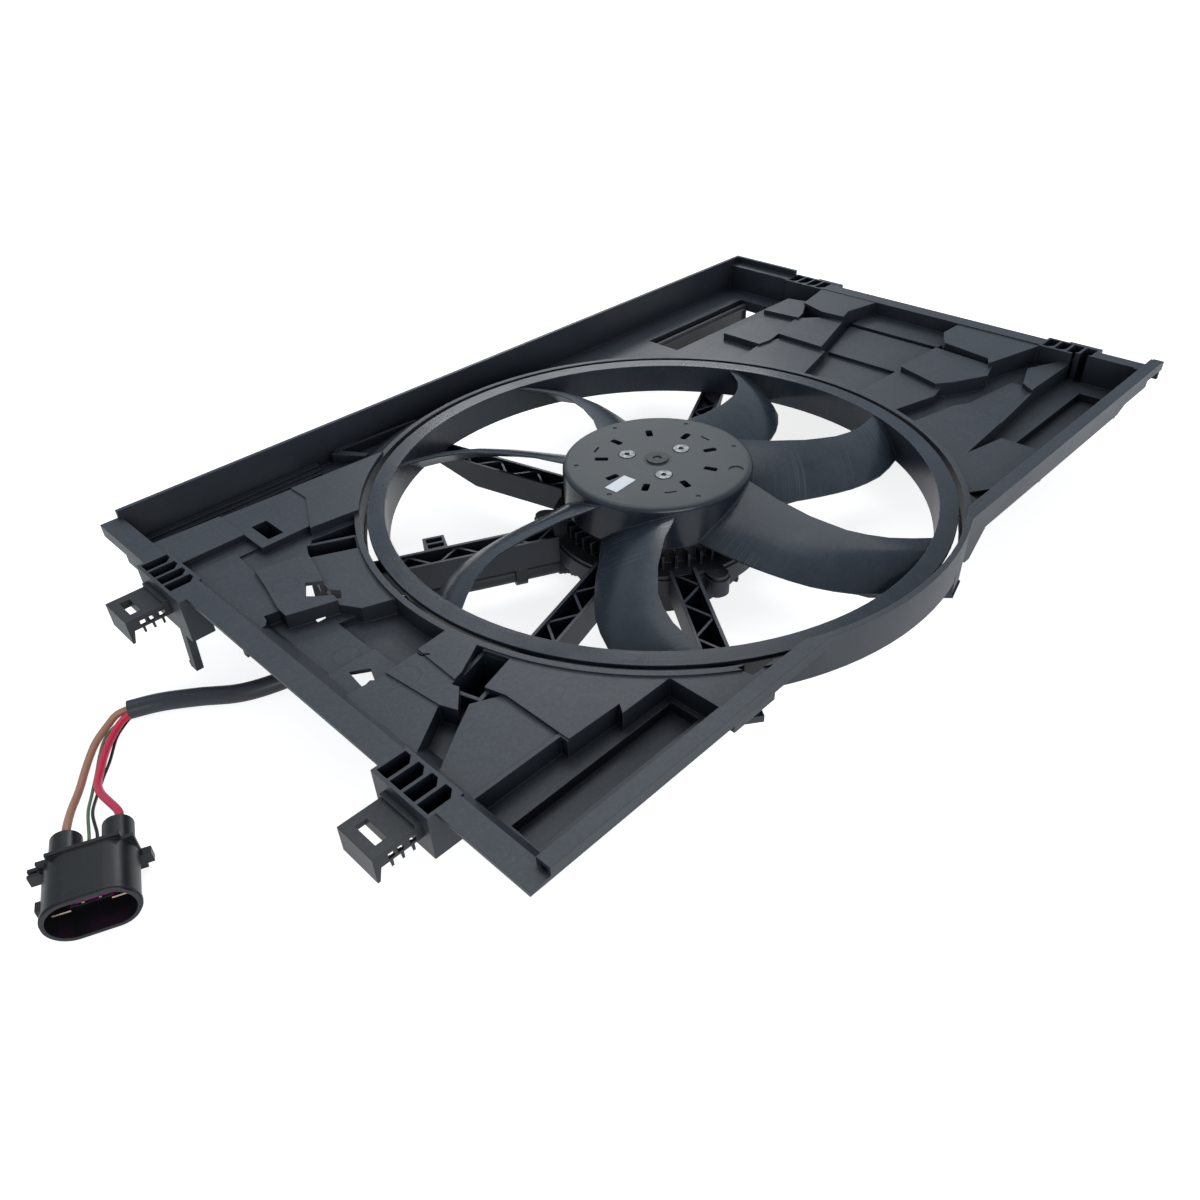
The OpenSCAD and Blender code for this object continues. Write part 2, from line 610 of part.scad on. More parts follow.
module flap(s, h) color(shroud_colour) placed()
    translate([0, s[3] - hinge_inset, -flap_hinge_depth]) {
        x0 = s[0] + flap_end_gap;
        x1 = s[1] - flap_end_gap;
        barrel_of_flap = flap_pin_r + 0.8;
        box_at(x0, x1, -flap_t / 2, flap_t / 2, -h + barrel_of_flap, 0);
        translate([x0, 0, 0]) rotate([0, 90, 0]) cylinder(r = barrel_of_flap, h = x1 - x0);
        translate([x0 - slot_frame, 0, 0]) rotate([0, 90, 0])
            cylinder(r = flap_pin_r, h = x1 - x0 + 2 * slot_frame);
        for (x = [x0, x1 - 2]) box_at(x, x + 2, -flap_t / 2 - 2, flap_t / 2, -h + 6, 0);
        box_at(x0, x1, -flap_t / 2 - 2, flap_t / 2, -h + barrel_of_flap, -h + barrel_of_flap + 2);
    }
module flap_left() flap(left_slot, left_flap_h);
module flap_right() flap(right_slot, right_flap_h);

// Retaining clips

module clip_body() {
    half = clip_w / 2;
    side_t = 1.8;
    side_h = 8;
    difference() {
        union() {
            box_at(0, clip_l, -half, half, -clip_drop - 2, -clip_drop);
            for (y = [-half, half - side_t]) box_at(0, clip_l, y, y + side_t, -clip_drop - side_h, -clip_drop);
            box_at(0, 3, -half, half, -clip_drop - side_h, -clip_drop + 2.5);
            for (x = [8, 12.5]) box_at(x, x + side_t, -half, half, -clip_drop - side_h, -clip_drop);
            translate([0, half, 0]) rotate([90, 0, 0]) linear_extrude(clip_w)
                polygon([[clip_l - 5, -clip_drop - 2], [clip_l - 5, -clip_drop],
                    [clip_l - 1, -clip_drop], [clip_l, -clip_drop - 2],
                    [clip_l + 0, -clip_drop - 16], [clip_l - 1.5, -clip_drop - 16]]);
            for (x = [5, 11, 17]) translate([x, -half, 0]) rotate([90, 0, 90]) linear_extrude(1.4)
                polygon([[0, -clip_drop - side_h + 1], [2.5, -clip_drop - side_h + 1],
                    [0, -clip_drop - side_h - 4]]);
        }
        box_at(14.5, 21, -half + 6, half - 6, -clip_drop - 3, -clip_drop + over);
        for (x = [3.5, 10.5, 15.5]) box_at(x, x + 3.5, -half - over, -half + side_t + over,
            -clip_drop - 6.5, -clip_drop - 3);
    }
    box_at(-tongue_l, 0.5, -tongue_w / 2, tongue_w / 2, -clip_drop - tongue_h - 2, -clip_drop - 2);
}
module retaining_clip(side, y) color(shroud_colour) placed()
    translate([side * (end_x + block_out), y - clip_offset, 0])
        mirror([side < 0 ? 1 : 0, 0, 0]) clip_body();
module retaining_clip_a() retaining_clip(-1, block_a_y);
module retaining_clip_d() retaining_clip(-1, block_d_y);
module retaining_clip_b() retaining_clip(1, block_b_y);
module retaining_clip_c() retaining_clip(1, block_c_y);

// Fan wheel

// Angles between the blades are uneven, as on the real wheel, to spread its sound
blade_angles = [270, 323.5, 5.5, 62, 108, 167, 212];
blade_root_r = hub_r - hub_wall / 2;
blade_tip_r = ring_bore_r + ring_wall / 2;
// Blade edges against radius: angle from the blade's own line, and height
high_edge_angle = [[60, 23], [75, 17], [90, 12.5], [115, 10], [143, 10], [165, 13], [195, 19]];
low_edge_angle = [[60, -27], [75, -20], [90, -15], [115, -10], [143, -5], [165, 0], [195, 9]];
high_edge_z = [[60, 6], [90, 3], [120, 0], [195, -6]];
low_edge_z = [[60, -19], [90, -22], [195, -25]];
blade_stations = 11;
blade_ribs = 7;

function blade_mid(r, u) =
    let (a0 = lookup(r, low_edge_angle), a1 = lookup(r, high_edge_angle),
        z0 = lookup(r, low_edge_z), z1 = lookup(r, high_edge_z))
    concat(polar(r, a0 + (a1 - a0) * u), z0 + (z1 - z0) * u + blade_camber * 4 * u * (1 - u));
// Half of the section's thickness, thinner towards both edges
function blade_half(u) = blade_t / 2 * (0.45 + 0.55 * sqrt(max(0, 4 * u * (1 - u))));

module blade() {
    nr = blade_stations;
    nc = blade_ribs;
    rs = [for (i = [0:nr - 1]) blade_root_r + (blade_tip_r - blade_root_r) * i / (nr - 1)];
    us = [for (j = [0:nc - 1]) j / (nc - 1)];
    top = [for (r = rs) for (u = us) blade_mid(r, u) + [0, 0, blade_half(u)]];
    low = [for (r = rs) for (u = us) blade_mid(r, u) - [0, 0, blade_half(u)]];
    m = nr * nc;
    function at(i, j, s) = s * m + i * nc + j;
    polyhedron(points = concat(top, low), faces = concat(
        [for (i = [0:nr - 2]) for (j = [0:nc - 2]) [at(i, j, 0), at(i, j + 1, 0), at(i + 1, j + 1, 0)]],
        [for (i = [0:nr - 2]) for (j = [0:nc - 2]) [at(i, j, 0), at(i + 1, j + 1, 0), at(i + 1, j, 0)]],
        [for (i = [0:nr - 2]) for (j = [0:nc - 2]) [at(i, j, 1), at(i + 1, j + 1, 1), at(i, j + 1, 1)]],
        [for (i = [0:nr - 2]) for (j = [0:nc - 2]) [at(i, j, 1), at(i + 1, j, 1), at(i + 1, j + 1, 1)]],
        [for (j = [0:nc - 2]) [at(0, j, 1), at(0, j + 1, 1), at(0, j + 1, 0)]],
        [for (j = [0:nc - 2]) [at(0, j, 1), at(0, j + 1, 0), at(0, j, 0)]],
        [for (j = [0:nc - 2]) [at(nr - 1, j, 0), at(nr - 1, j + 1, 0), at(nr - 1, j + 1, 1)]],
        [for (j = [0:nc - 2]) [at(nr - 1, j, 0), at(nr - 1, j + 1, 1), at(nr - 1, j, 1)]],
        [for (i = [0:nr - 2]) [at(i, 0, 0), at(i + 1, 0, 0), at(i + 1, 0, 1)]],
        [for (i = [0:nr - 2]) [at(i, 0, 0), at(i + 1, 0, 1), at(i, 0, 1)]],
        [for (i = [0:nr - 2]) [at(i, nc - 1, 1), at(i + 1, nc - 1, 1), at(i + 1, nc - 1, 0)]],
        [for (i = [0:nr - 2]) [at(i, nc - 1, 1), at(i + 1, nc - 1, 0), at(i, nc - 1, 0)]]));
}

hub_face_r = hub_r - hub_round;
hub_in_r = hub_r - hub_wall;
hub_face_low = hub_top - hub_wall;
seat_h = 3;
bell_top = hub_face_low - seat_h;
screw_angles = [233, 353, 113];
slot_circle = 38.5;
head_sink = 1.2;
head_h = 1.6;
dimple_angles = [20, 75, 140, 188, 250, 330];

module hub_shell() rotate_extrude()
    polygon(concat(
        [[0, hub_top], [0, hub_face_low], [hub_in_r, hub_face_low], [hub_in_r, hub_bottom],
            [hub_r, hub_bottom]],
        [for (a = [0:15:90]) [hub_face_r + hub_round * cos(a), hub_top - hub_round + hub_round * sin(a)]]));

module hub_cuts() {
    for (i = [0:hub_slots - 1]) at_angle(90.5 + 360 / hub_slots * i)
        translate([slot_circle, 0, hub_face_low - over]) linear_extrude(hub_wall + 2 * over)
            polygon([[-4.6, -1.5], [-3.8, -2.3], [3.8, -2.3], [4.6, -1.5],
                [4.6, 1.5], [3.8, 2.3], [-3.8, 2.3], [-4.6, 1.5]]);
    for (a = screw_angles) {
        translate(concat(polar(fan_screw_circle, a), hub_face_low - seat_h - over))
            cylinder(r = fan_screw_r + 0.2, h = hub_wall + seat_h + 2 * over);
        translate(concat(polar(fan_screw_circle, a), hub_top - head_sink))
            cylinder(r = fan_screw_head_r + 0.4, h = head_sink + over);
        at_angle(a) translate([45, 0, hub_top - 1.5]) box_at(-0.7, 0.7, -4, 4, 0, 3);
    }
    translate(concat(polar(55, 296), hub_top - 0.8)) cylinder(r = 5, h = 2);
    for (a = dimple_angles) translate(concat(polar(56, a), hub_top - 0.6)) cylinder(r = 1.6, h = 2, $fn = 16);
    translate([0, 0, hub_top + 0.3]) cylinder(r = 3, h = 2);
}

module ring_solid() {
    ring_at(ring_bore_r, ring_r, -ring_drop - ring_wall, -ring_drop);
    ring_at(ring_bore_r, ring_bore_r + ring_wall, -ring_drop - ring_h, -ring_drop);
}

module fan_wheel() color(fan_colour) on_fan_axis() difference() {
    union() {
        hub_shell();
        translate([0, 0, hub_top - 0.5]) cylinder(r = 7.5, h = 1.6);
        for (a = screw_angles) translate(concat(polar(fan_screw_circle, a), bell_top))
            cylinder(r = 8, h = seat_h + over);
        ring_solid();
        for (a = blade_angles) at_angle(a) blade();
    }
    hub_cuts();
}

module fan_screws() color(steel_colour) on_fan_axis()
    for (a = screw_angles) translate(polar(fan_screw_circle, a)) difference() {
        union() {
            translate([0, 0, hub_top - head_sink]) cylinder(r = fan_screw_head_r, h = head_h);
            translate([0, 0, bell_top - bell_wall - 3])
                cylinder(r = fan_screw_r, h = hub_top - head_sink - bell_top + bell_wall + 3.2);
        }
        translate([0, 0, hub_top - head_sink + head_h - 1]) cylinder(r = 2, h = 2, $fn = 6);
    }

module hub_label() color("white") on_fan_axis()
    translate([-41, -4, hub_top]) at_angle(4) box_at(-10, 10, -5, 5, 0, 0.3);

// Motor

bell_r = hub_in_r - 2.4;
magnet_r = bell_r - bell_wall;
bell_bottom = hub_bottom - 1;
base_top = bell_bottom - 3;
base_flange_top = carrier_top + 3;
base_bottom = carrier_top - 4;
tube_r = bearing_r + 3;
tube_top = bell_top - bell_wall - 4;
tooth_w = 8;
stator_top = tube_top - 4;
stator_h = 14;
stator_low = stator_top - stator_h;
yoke_r = tube_r + 9;

module rotor_bell() color("dimgray") on_fan_axis() difference() {
    union() {
        translate([0, 0, bell_top - bell_wall]) cylinder(r = bell_r, h = bell_wall);
        ring_at(magnet_r, bell_r, bell_bottom, bell_top);
        translate([0, 0, bell_top - bell_wall - 3]) cylinder(r = 9, h = 4);
    }
    translate([0, 0, bell_top - bell_wall - 4]) cylinder(r = shaft_r, h = bell_wall + 6);
    for (a = screw_angles) translate(concat(polar(fan_screw_circle, a), bell_top - bell_wall - over))
        cylinder(r = fan_screw_r, h = bell_wall + 2 * over);
}

module rotor_magnets() color("#2a2a2e") on_fan_axis() difference() {
    ring_at(magnet_r - magnet_t, magnet_r, bell_bottom + 1, bell_top - bell_wall - 1);
    for (i = [0:magnet_count - 1]) at_angle(i * 360 / magnet_count)
        box_at(magnet_r - magnet_t - over, magnet_r + over, -0.6, 0.6, bell_bottom, bell_top);
}

module motor_shaft() color(steel_colour) on_fan_axis()
    translate([0, 0, base_bottom + 2]) cylinder(r = shaft_r, h = bell_top - base_bottom - 2);

module motor_base() color("#26282b") on_fan_axis() difference() {
    union() {
        translate([0, 0, base_top - 3]) cylinder(r = base_r, h = 3);
        ring_at(base_r - 3, base_r, base_bottom, base_top);
        ring_at(base_r - 1, carrier_r + carrier_w - 1, carrier_top, base_flange_top);
        ring_at(base_r - 3, base_r + 4, base_bottom, base_bottom + 3);
        translate([0, 0, base_bottom + 2]) cylinder(r = tube_r, h = tube_top - base_bottom - 2);
        for (a = ear_angles) at_angle(a) difference() {
            union() {
                translate([ear_circle, 0, carrier_top]) cylinder(r = ear_r - 1, h = 3);
                box_at(base_r + 4, ear_circle, -ear_r + 1, ear_r - 1, carrier_top, base_flange_top);
            }
            translate([ear_circle, 0, carrier_top - over]) cylinder(r = motor_screw_r, h = 3 + 2 * over);
        }
        for (i = [0:fin_count - 1]) at_angle(i * 360 / fin_count)
            box_at(base_r - 1, base_r + fin_l, -fin_t / 2, fin_t / 2, base_flange_top - 1, base_top - 2);
    }
    translate([0, 0, base_bottom]) cylinder(r = bearing_r - 2, h = tube_top - base_bottom + over);
    translate([0, 0, tube_top - bearing_w]) cylinder(r = bearing_r, h = bearing_w + over);
    translate([0, 0, base_bottom]) cylinder(r = bearing_r, h = bearing_w + 2);
}

module bearing(low) color(steel_colour) on_fan_axis() difference() {
    ring_at(shaft_r + fit, bearing_r, low, low + bearing_w);
    ring_at(shaft_r + 2, bearing_r - 2, low + bearing_w - 0.5, low + bearing_w + over);
}
module front_bearing() bearing(tube_top - bearing_w);
module rear_bearing() bearing(base_bottom + 2);

module stator_core() color("#6f6a62") on_fan_axis() difference() {
    union() {
        ring_at(tube_r, yoke_r, stator_low, stator_top);
        intersection() {
            ring_at(tube_r, stator_r, stator_low, stator_top);
            for (i = [0:stator_teeth - 1]) at_angle(i * 360 / stator_teeth) {
                box_at(tube_r + 1, stator_r + 1, -tooth_w / 2, tooth_w / 2, stator_low, stator_top);
                box_at(stator_r - 5, stator_r + 1, -10.5, 10.5, stator_low, stator_top);
            }
        }
    }
}

coil_from = tube_r + 13;
coil_t = 2.6;
module stator_windings() color("#b8622d") on_fan_axis()
    for (i = [0:stator_teeth - 1]) at_angle(i * 360 / stator_teeth) difference() {
        box_at(coil_from, stator_r - 5.5, -tooth_w / 2 - coil_t, tooth_w / 2 + coil_t,
            stator_low - coil_t, stator_top + coil_t);
        box_at(coil_from - over, stator_r, -tooth_w / 2, tooth_w / 2, stator_low, stator_top);
    }

board_top = base_bottom - 2;
board_t = 1.6;
cover_r = base_r + 4;
cover_step = -motor_depth + 12;
module circuit_board() color("darkgreen") on_fan_axis() {
    translate([0, 0, board_top - board_t]) cylinder(r = base_r - 1, h = board_t);
    for (a = [20, 140, 260]) translate(concat(polar(base_r - 4, a), board_top - over))
        cylinder(r = 2.8, h = base_bottom - board_top + over);
    box_at(-28, -12, -12, 14, board_top - 8, board_top - board_t);
    for (y = [-22, 0, 22]) translate([26, y, board_top - 16]) cylinder(r = 7, h = 15);
}

module electronics_cover() color("#26282b") on_fan_axis() difference() {
    union() {
        translate([0, 0, cover_step]) cylinder(r = cover_r, h = base_bottom - cover_step);
        translate([0, 0, -motor_depth]) cylinder(r = cover_r - 9, h = 13);
        for (a = [20, 110, 200, 290]) at_angle(a)
            box_at(cover_r - 12, cover_r - 2, -1.5, 1.5, -motor_depth + 3, cover_step + 1);
        // Flat seat of the lead's gland
        at_angle(cable_angle) translate([cover_r - 8, 0, gland_z]) rotate([0, 90, 0])
            cylinder(r = gland_r + 2.2, h = 8 + gland_seat);
    }
    translate([0, 0, cover_step + 3]) cylinder(r = cover_r - 3, h = base_bottom - cover_step);
    translate([0, 0, -motor_depth + 3]) cylinder(r = cover_r - 12, h = 14);
    at_angle(cable_angle) translate([cover_r - 12, 0, gland_z]) rotate([0, 90, 0])
        cylinder(r = gland_r + 0.2, h = 20);
}

gland_r = sleeve_d / 2 + 3;
gland_z = strut_bottom - sleeve_d / 2 - 2.5;
gland_l = 16;
gland_seat = 1.5;
module cable_gland() color("#1c1d20") on_fan_axis() at_angle(cable_angle)
    translate([cover_r - 4, 0, gland_z]) rotate([0, 90, 0]) difference() {
        union() {
            cylinder(r = gland_r, h = 7);
            translate([0, 0, 4 + gland_seat]) cylinder(r = gland_r + 1.2, h = 2);
            for (i = [0:2]) translate([0, 0, 8.5 + i * 2.6]) cylinder(r = gland_r - 0.8 - i * 0.4, h = 1.5);
            cylinder(r = sleeve_d / 2 + 1.2, h = gland_l);
        }
        translate([0, 0, gland_l - 4]) cylinder(r = sleeve_d / 2, h = 6);
    }

module motor_screws() color(steel_colour) on_fan_axis()
    for (a = ear_angles) translate(polar(ear_circle, a)) {
        translate([0, 0, strut_bottom - 3]) cylinder(r = 4.5, h = 3);
        translate([0, 0, strut_bottom - 0.5]) cylinder(r = motor_screw_r, h = base_flange_top - strut_bottom);
    }

clip_ring_r = strut_bottom - gland_z;
cable_clip_spots = [104, 148];
module cable_clips() color("#1c1d20") on_fan_axis() at_angle(cable_angle)
    for (r = cable_clip_spots) difference() {
        union() {
            translate([r - 4, 0, gland_z]) rotate([0, 90, 0]) cylinder(r = clip_ring_r, h = 8);
            box_at(r - 4, r + 4, -clip_ring_r, clip_ring_r, gland_z + 4, strut_bottom);
        }
        translate([r - 5, 0, gland_z]) rotate([0, 90, 0]) cylinder(r = sleeve_d / 2 + 0.2, h = 10);
    }

// Lead: every tube is swept along its own points, in the design frame

function smooth_point(p, i, t) =
    let (n = len(p) - 1, a = p[max(i - 1, 0)], b = p[i], c = p[min(i + 1, n)], d = p[min(i + 2, n)])
    0.5 * (2 * b + (c - a) * t + (2 * a - 5 * b + 4 * c - d) * t * t
        + (3 * b - a - 3 * c + d) * t * t * t);
function sampled(p, count) = let (n = len(p) - 1)
    [for (k = [0:count - 1]) let (s = k / (count - 1) * n, i = min(floor(s), n - 1))
        smooth_point(p, i, s - i)];
function tangent(p, i) = let (n = len(p) - 1) unit(p[min(i + 1, n)] - p[max(i - 1, 0)]);
function ring_points(c, t, r, sides) =
    let (u = unit(cross([0, 0, 1], t)), v = cross(t, u))
    [for (k = [0:sides - 1]) c + r * (cos(360 * k / sides) * u + sin(360 * k / sides) * v)];

module tube(route, d, rings, sides) {
    p = sampled(route, rings);
    pts = [for (i = [0:rings - 1]) each ring_points(p[i], tangent(p, i), d / 2, sides)];
    polyhedron(points = pts, faces = concat(
        [[for (k = [0:sides - 1]) sides - 1 - k]],
        [[for (k = [0:sides - 1]) (rings - 1) * sides + k]],
        [for (i = [0:rings - 2]) for (k = [0:sides - 1])
            [i * sides + k, i * sides + (k + 1) % sides, (i + 1) * sides + (k + 1) % sides]],
        [for (i = [0:rings - 2]) for (k = [0:sides - 1])
            [i * sides + k, (i + 1) * sides + (k + 1) % sides, (i + 1) * sides + k]]));
}

// The connector's own frame has +Y out of the mouth, X across the mouth and zero at the flange
plug_at = [-454.3, 6.3, 0];
plug_turn = 157;
plug_z = -motor_depth + plug_h / 2 + 1;
boot_x = 13;
middle_boot_l = 13;
terminal_x = 14;
flange_t = 2;

// Routes of the lead, from the motor's gland to the sleeve's end and on to the connector
function under_strut(r) = concat([fan_x, fan_y] + polar(r, cable_angle), gland_z);
function from_plug(x, y, z) = [plug_at.x + x * cos(plug_turn) - y * sin(plug_turn),
    plug_at.y + x * sin(plug_turn) + y * cos(plug_turn), plug_z + z];
sleeve_route = concat([for (r = [72:20:152]) under_strut(r)],
    [[-204, 57, -59], [-225, 59, -60], [-246, 59, -62], [-267, 58, -64], [-288, 58, -66],
        [-309, 64, -69], [-332, 76, -71.5], [-352, 95, -73.2], [-371, 109.5, -73.7], [-388, 117.5, -73.7]]);
wire_brown_route = concat([[-385.5, 119.1, -74.6], [-394, 121.5, -75.6], [-402, 118, -76.8],
    [-414, 108.5, -77.2], [-425, 94.5, -77.2], [-437, 74, -74.5], [-447, 56, -69.5]],
    [for (y = [-boot_l - 10, -boot_l - 3, -boot_l + 3]) from_plug(boot_x, y, 0)]);
wire_red_route = concat([[-387.7, 114.6, -74.6], [-394, 113.2, -75.2], [-401.5, 107.5, -75.6],
    [-412, 96, -75.4], [-422, 80.6, -75], [-429.5, 62, -71.5]],
    [for (y = [-boot_l - 11, -boot_l - 3, -boot_l + 3]) from_plug(-boot_x, y, 0)]);
wire_green_route = concat([[-386.7, 118, -77.7], [-394, 117, -78.4], [-401, 115, -78.7],
    [-408.5, 109.5, -78.8], [-416.5, 98, -78.8], [-424, 84.6, -78.6], [-433.6, 65.7, -75.5],
    [-441, 47.5, -69.5]],
    [for (y = [-middle_boot_l - 9, -middle_boot_l - 2, -middle_boot_l + 4.5]) from_plug(2, y, -1)]);
wire_black_route = concat([[-387.3, 116, -77.7], [-394, 112.7, -78.5], [-403, 105, -78.8],
    [-414, 89, -78.8], [-422.5, 78.5, -78.8], [-432, 62.5, -75.5], [-439.5, 45, -69.5]],
    [for (y = [-middle_boot_l - 9, -middle_boot_l - 2, -middle_boot_l + 4.5]) from_plug(-2, y, -1)]);

module cable_sleeve() color("#3a3d42") placed() tube(sleeve_route, sleeve_d, 16, 12);
module wire_brown() color("#b9826a") placed() tube(wire_brown_route, power_wire_d, 14, 8);
module wire_red() color("#e03a5a") placed() tube(wire_red_route, power_wire_d, 14, 8);
module wire_green() color("#5f9a4a") placed() tube(wire_green_route, signal_wire_d, 18, 8);
module wire_black() color("#1b1b1d") placed() tube(wire_black_route, signal_wire_d, 18, 8);

// Connector

module at_plug() placed() translate([plug_at.x, plug_at.y, plug_z]) at_angle(plug_turn) children();

module oval(w, h) {
    square([w - h, h], center = true);
    for (s = [-1, 1]) translate([s * (w - h) / 2, 0]) circle(d = h);
}
// An oval prism from one Y to another
module oval_bar(w, h, y0, y1) translate([0, y1, 0]) rotate([90, 0, 0]) linear_extrude(y1 - y0) oval(w, h);

module connector_housing() color("#1c1e22") at_plug() difference() {
    union() {
        oval_bar(plug_w, plug_h, 0, plug_l);
        oval_bar(plug_w + 1.2, plug_h + 1.2, plug_l - 3, plug_l - 1.5);
        box_at(-plug_w / 2 - 0.5, plug_w / 2 + 0.5, -flange_t, 0, -plug_h / 2 - 1, plug_h / 2 - 3);
        box_at(-plug_w / 2 + 5, plug_w / 2 - 5, -flange_t, 0, -plug_h / 2, plug_h / 2 + 1);
        for (s = [-1, 1]) translate([s * boot_x, 0, 0]) rotate([90, 0, 0]) {
            cylinder(r = boot_r, h = boot_l);
            cylinder(r = boot_r + 0.8, h = 4);
        }
        // Slotted ear at one end of the flange and a plain one at the other
        box_at(plug_w / 2 - 1, plug_w / 2 + 6, -3.5, -1.5, -1, 6);
        box_at(plug_w / 2 - 1, plug_w / 2 + 6, 0.5, 2.5, -1, 6);
        box_at(plug_w / 2 - 1, plug_w / 2 + 1, -3.5, 2.5, -1, 6);
        box_at(-plug_w / 2 - 5, -plug_w / 2 + 1, -3, 2, -10, -3);
        translate([0, 0, -1]) rotate([90, 0, 0]) cylinder(r = 4.8, h = middle_boot_l);
        box_at(plug_w / 2 - 2, plug_w / 2 + 1.6, plug_l - 15, plug_l - 9, -2, 5);
    }
    oval_bar(plug_w - 2 * plug_wall, plug_h - 2 * plug_wall, 14, plug_l + over);
    oval_bar(plug_w - 2 * plug_wall - 4, plug_h - 2 * plug_wall - 4, 3, 15);
    for (s = [-1, 1]) translate([s * boot_x, -boot_l + 5, 0]) rotate([90, 0, 0])
        cylinder(r = boot_r - 1.6, h = 6);
    translate([0, -middle_boot_l + 7, -1]) rotate([90, 0, 0]) cylinder(r = 3.4, h = 7);
    for (s = [-1, 1]) box_at(s * terminal_x - power_blade_w / 2 - 0.1, s * terminal_x + power_blade_w / 2 + 0.1,
        -6, 4, -0.6, 0.6);
}

module connector_insert() color("#8a1070") at_plug() difference() {
    union() {
        box_at(-8.6, 8.6, 3, 20, -3.5, 7.5);
        box_at(-5.5, 5.5, 3, 22, 3, 8.5);
    }
    for (s = [-1, 1]) box_at(s * 4 - 0.8, s * 4 + 0.8, 1, 23, -0.8, 0.8);
}

module power_terminals() color(steel_colour) at_plug()
    for (s = [-1, 1]) box_at(s * terminal_x - power_blade_w / 2, s * terminal_x + power_blade_w / 2,
        -6, plug_l - 7, -0.5, 0.5);

module signal_terminals() color(steel_colour) at_plug()
    for (s = [-1, 1]) box_at(s * 4 - 0.7, s * 4 + 0.7, 3, 24, -0.4, 0.4);

module wire_seals() color("#2b2d31") at_plug() {
    for (s = [-1, 1]) translate([s * boot_x, -boot_l + 5, 0]) rotate([90, 0, 0])
        cylinder(r = boot_r - 1.6, h = 4);
    translate([0, -middle_boot_l + 7, -1]) rotate([90, 0, 0]) cylinder(r = 3.4, h = 4);
}

shroud();
flap_left();
flap_right();
retaining_clip_a();
retaining_clip_b();
retaining_clip_c();
retaining_clip_d();
fan_wheel();
fan_screws();
hub_label();
rotor_bell();
rotor_magnets();
motor_shaft();
motor_base();
front_bearing();
rear_bearing();
stator_core();
stator_windings();
circuit_board();
electronics_cover();
motor_screws();
cable_gland();
cable_clips();
cable_sleeve();
wire_brown();
wire_red();
wire_green();
wire_black();
wire_seals();
connector_housing();
connector_insert();
power_terminals();
signal_terminals();
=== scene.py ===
import math

import bmesh
import bpy
from mathutils import Matrix, Vector


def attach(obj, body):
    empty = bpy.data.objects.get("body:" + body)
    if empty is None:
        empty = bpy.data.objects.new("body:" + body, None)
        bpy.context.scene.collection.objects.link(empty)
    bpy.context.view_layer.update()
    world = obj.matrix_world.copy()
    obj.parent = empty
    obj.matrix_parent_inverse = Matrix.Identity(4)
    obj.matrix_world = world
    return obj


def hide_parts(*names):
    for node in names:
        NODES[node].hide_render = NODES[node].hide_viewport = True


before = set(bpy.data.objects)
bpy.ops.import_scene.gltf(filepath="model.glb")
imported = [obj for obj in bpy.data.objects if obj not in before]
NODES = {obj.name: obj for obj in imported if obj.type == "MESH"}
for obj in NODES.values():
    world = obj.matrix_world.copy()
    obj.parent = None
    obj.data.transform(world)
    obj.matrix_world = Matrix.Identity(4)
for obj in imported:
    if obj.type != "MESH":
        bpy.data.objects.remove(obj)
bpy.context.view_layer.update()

# The fan's axis in the design, in millimetres, and the design's origin in the row frame, in metres
FAN_X = -46
FAN_Y = -20
PART_Y = 0.0075
MOTOR_DEPTH = 0.080


def mm(x, y, z):
    """A point of the design in millimetres, in the row frame."""
    return Vector((x / 1000, y / 1000 + PART_Y, z / 1000 + MOTOR_DEPTH))


def add_object(name, data):
    """A new object in the scene."""
    item = bpy.data.objects.new(name, data)
    bpy.context.collection.objects.link(item)
    return item


# Camera, solved from the photograph
SENSOR_W = 36
LENS = 29.198
CAMERA_AT = (-0.48706583, -0.40874724, 0.41682522)
CAMERA_RIGHT = Vector((0.70101625, -0.71213875, -0.0378762))
CAMERA_DOWN = Vector((-0.45040947, -0.40094626, -0.79773016))
CAMERA_FORWARD = Vector((0.55290824, 0.57628161, -0.60182388))


def solved_camera():
    data = bpy.data.cameras.new("camera")
    data.sensor_width = SENSOR_W
    data.lens = LENS
    data.clip_end = 50
    camera = add_object("camera", data)
    turn = Matrix((CAMERA_RIGHT, -CAMERA_DOWN, -CAMERA_FORWARD)).transposed().to_4x4()
    camera.matrix_world = Matrix.Translation(CAMERA_AT) @ turn
    return camera


bpy.context.scene.camera = solved_camera()
bpy.context.scene.view_settings.view_transform = "Standard"

# Node trees: the colour sockets of a Mix node, the grid on which nodes are laid out, and the vector
# operations that give a number
MIX_FIRST = 6
MIX_SECOND = 7
MIX_RESULT = 2
NODE_STEP = 220
NODES_IN_A_ROW = 8
MEASURES = ("DISTANCE", "LENGTH", "DOT_PRODUCT")


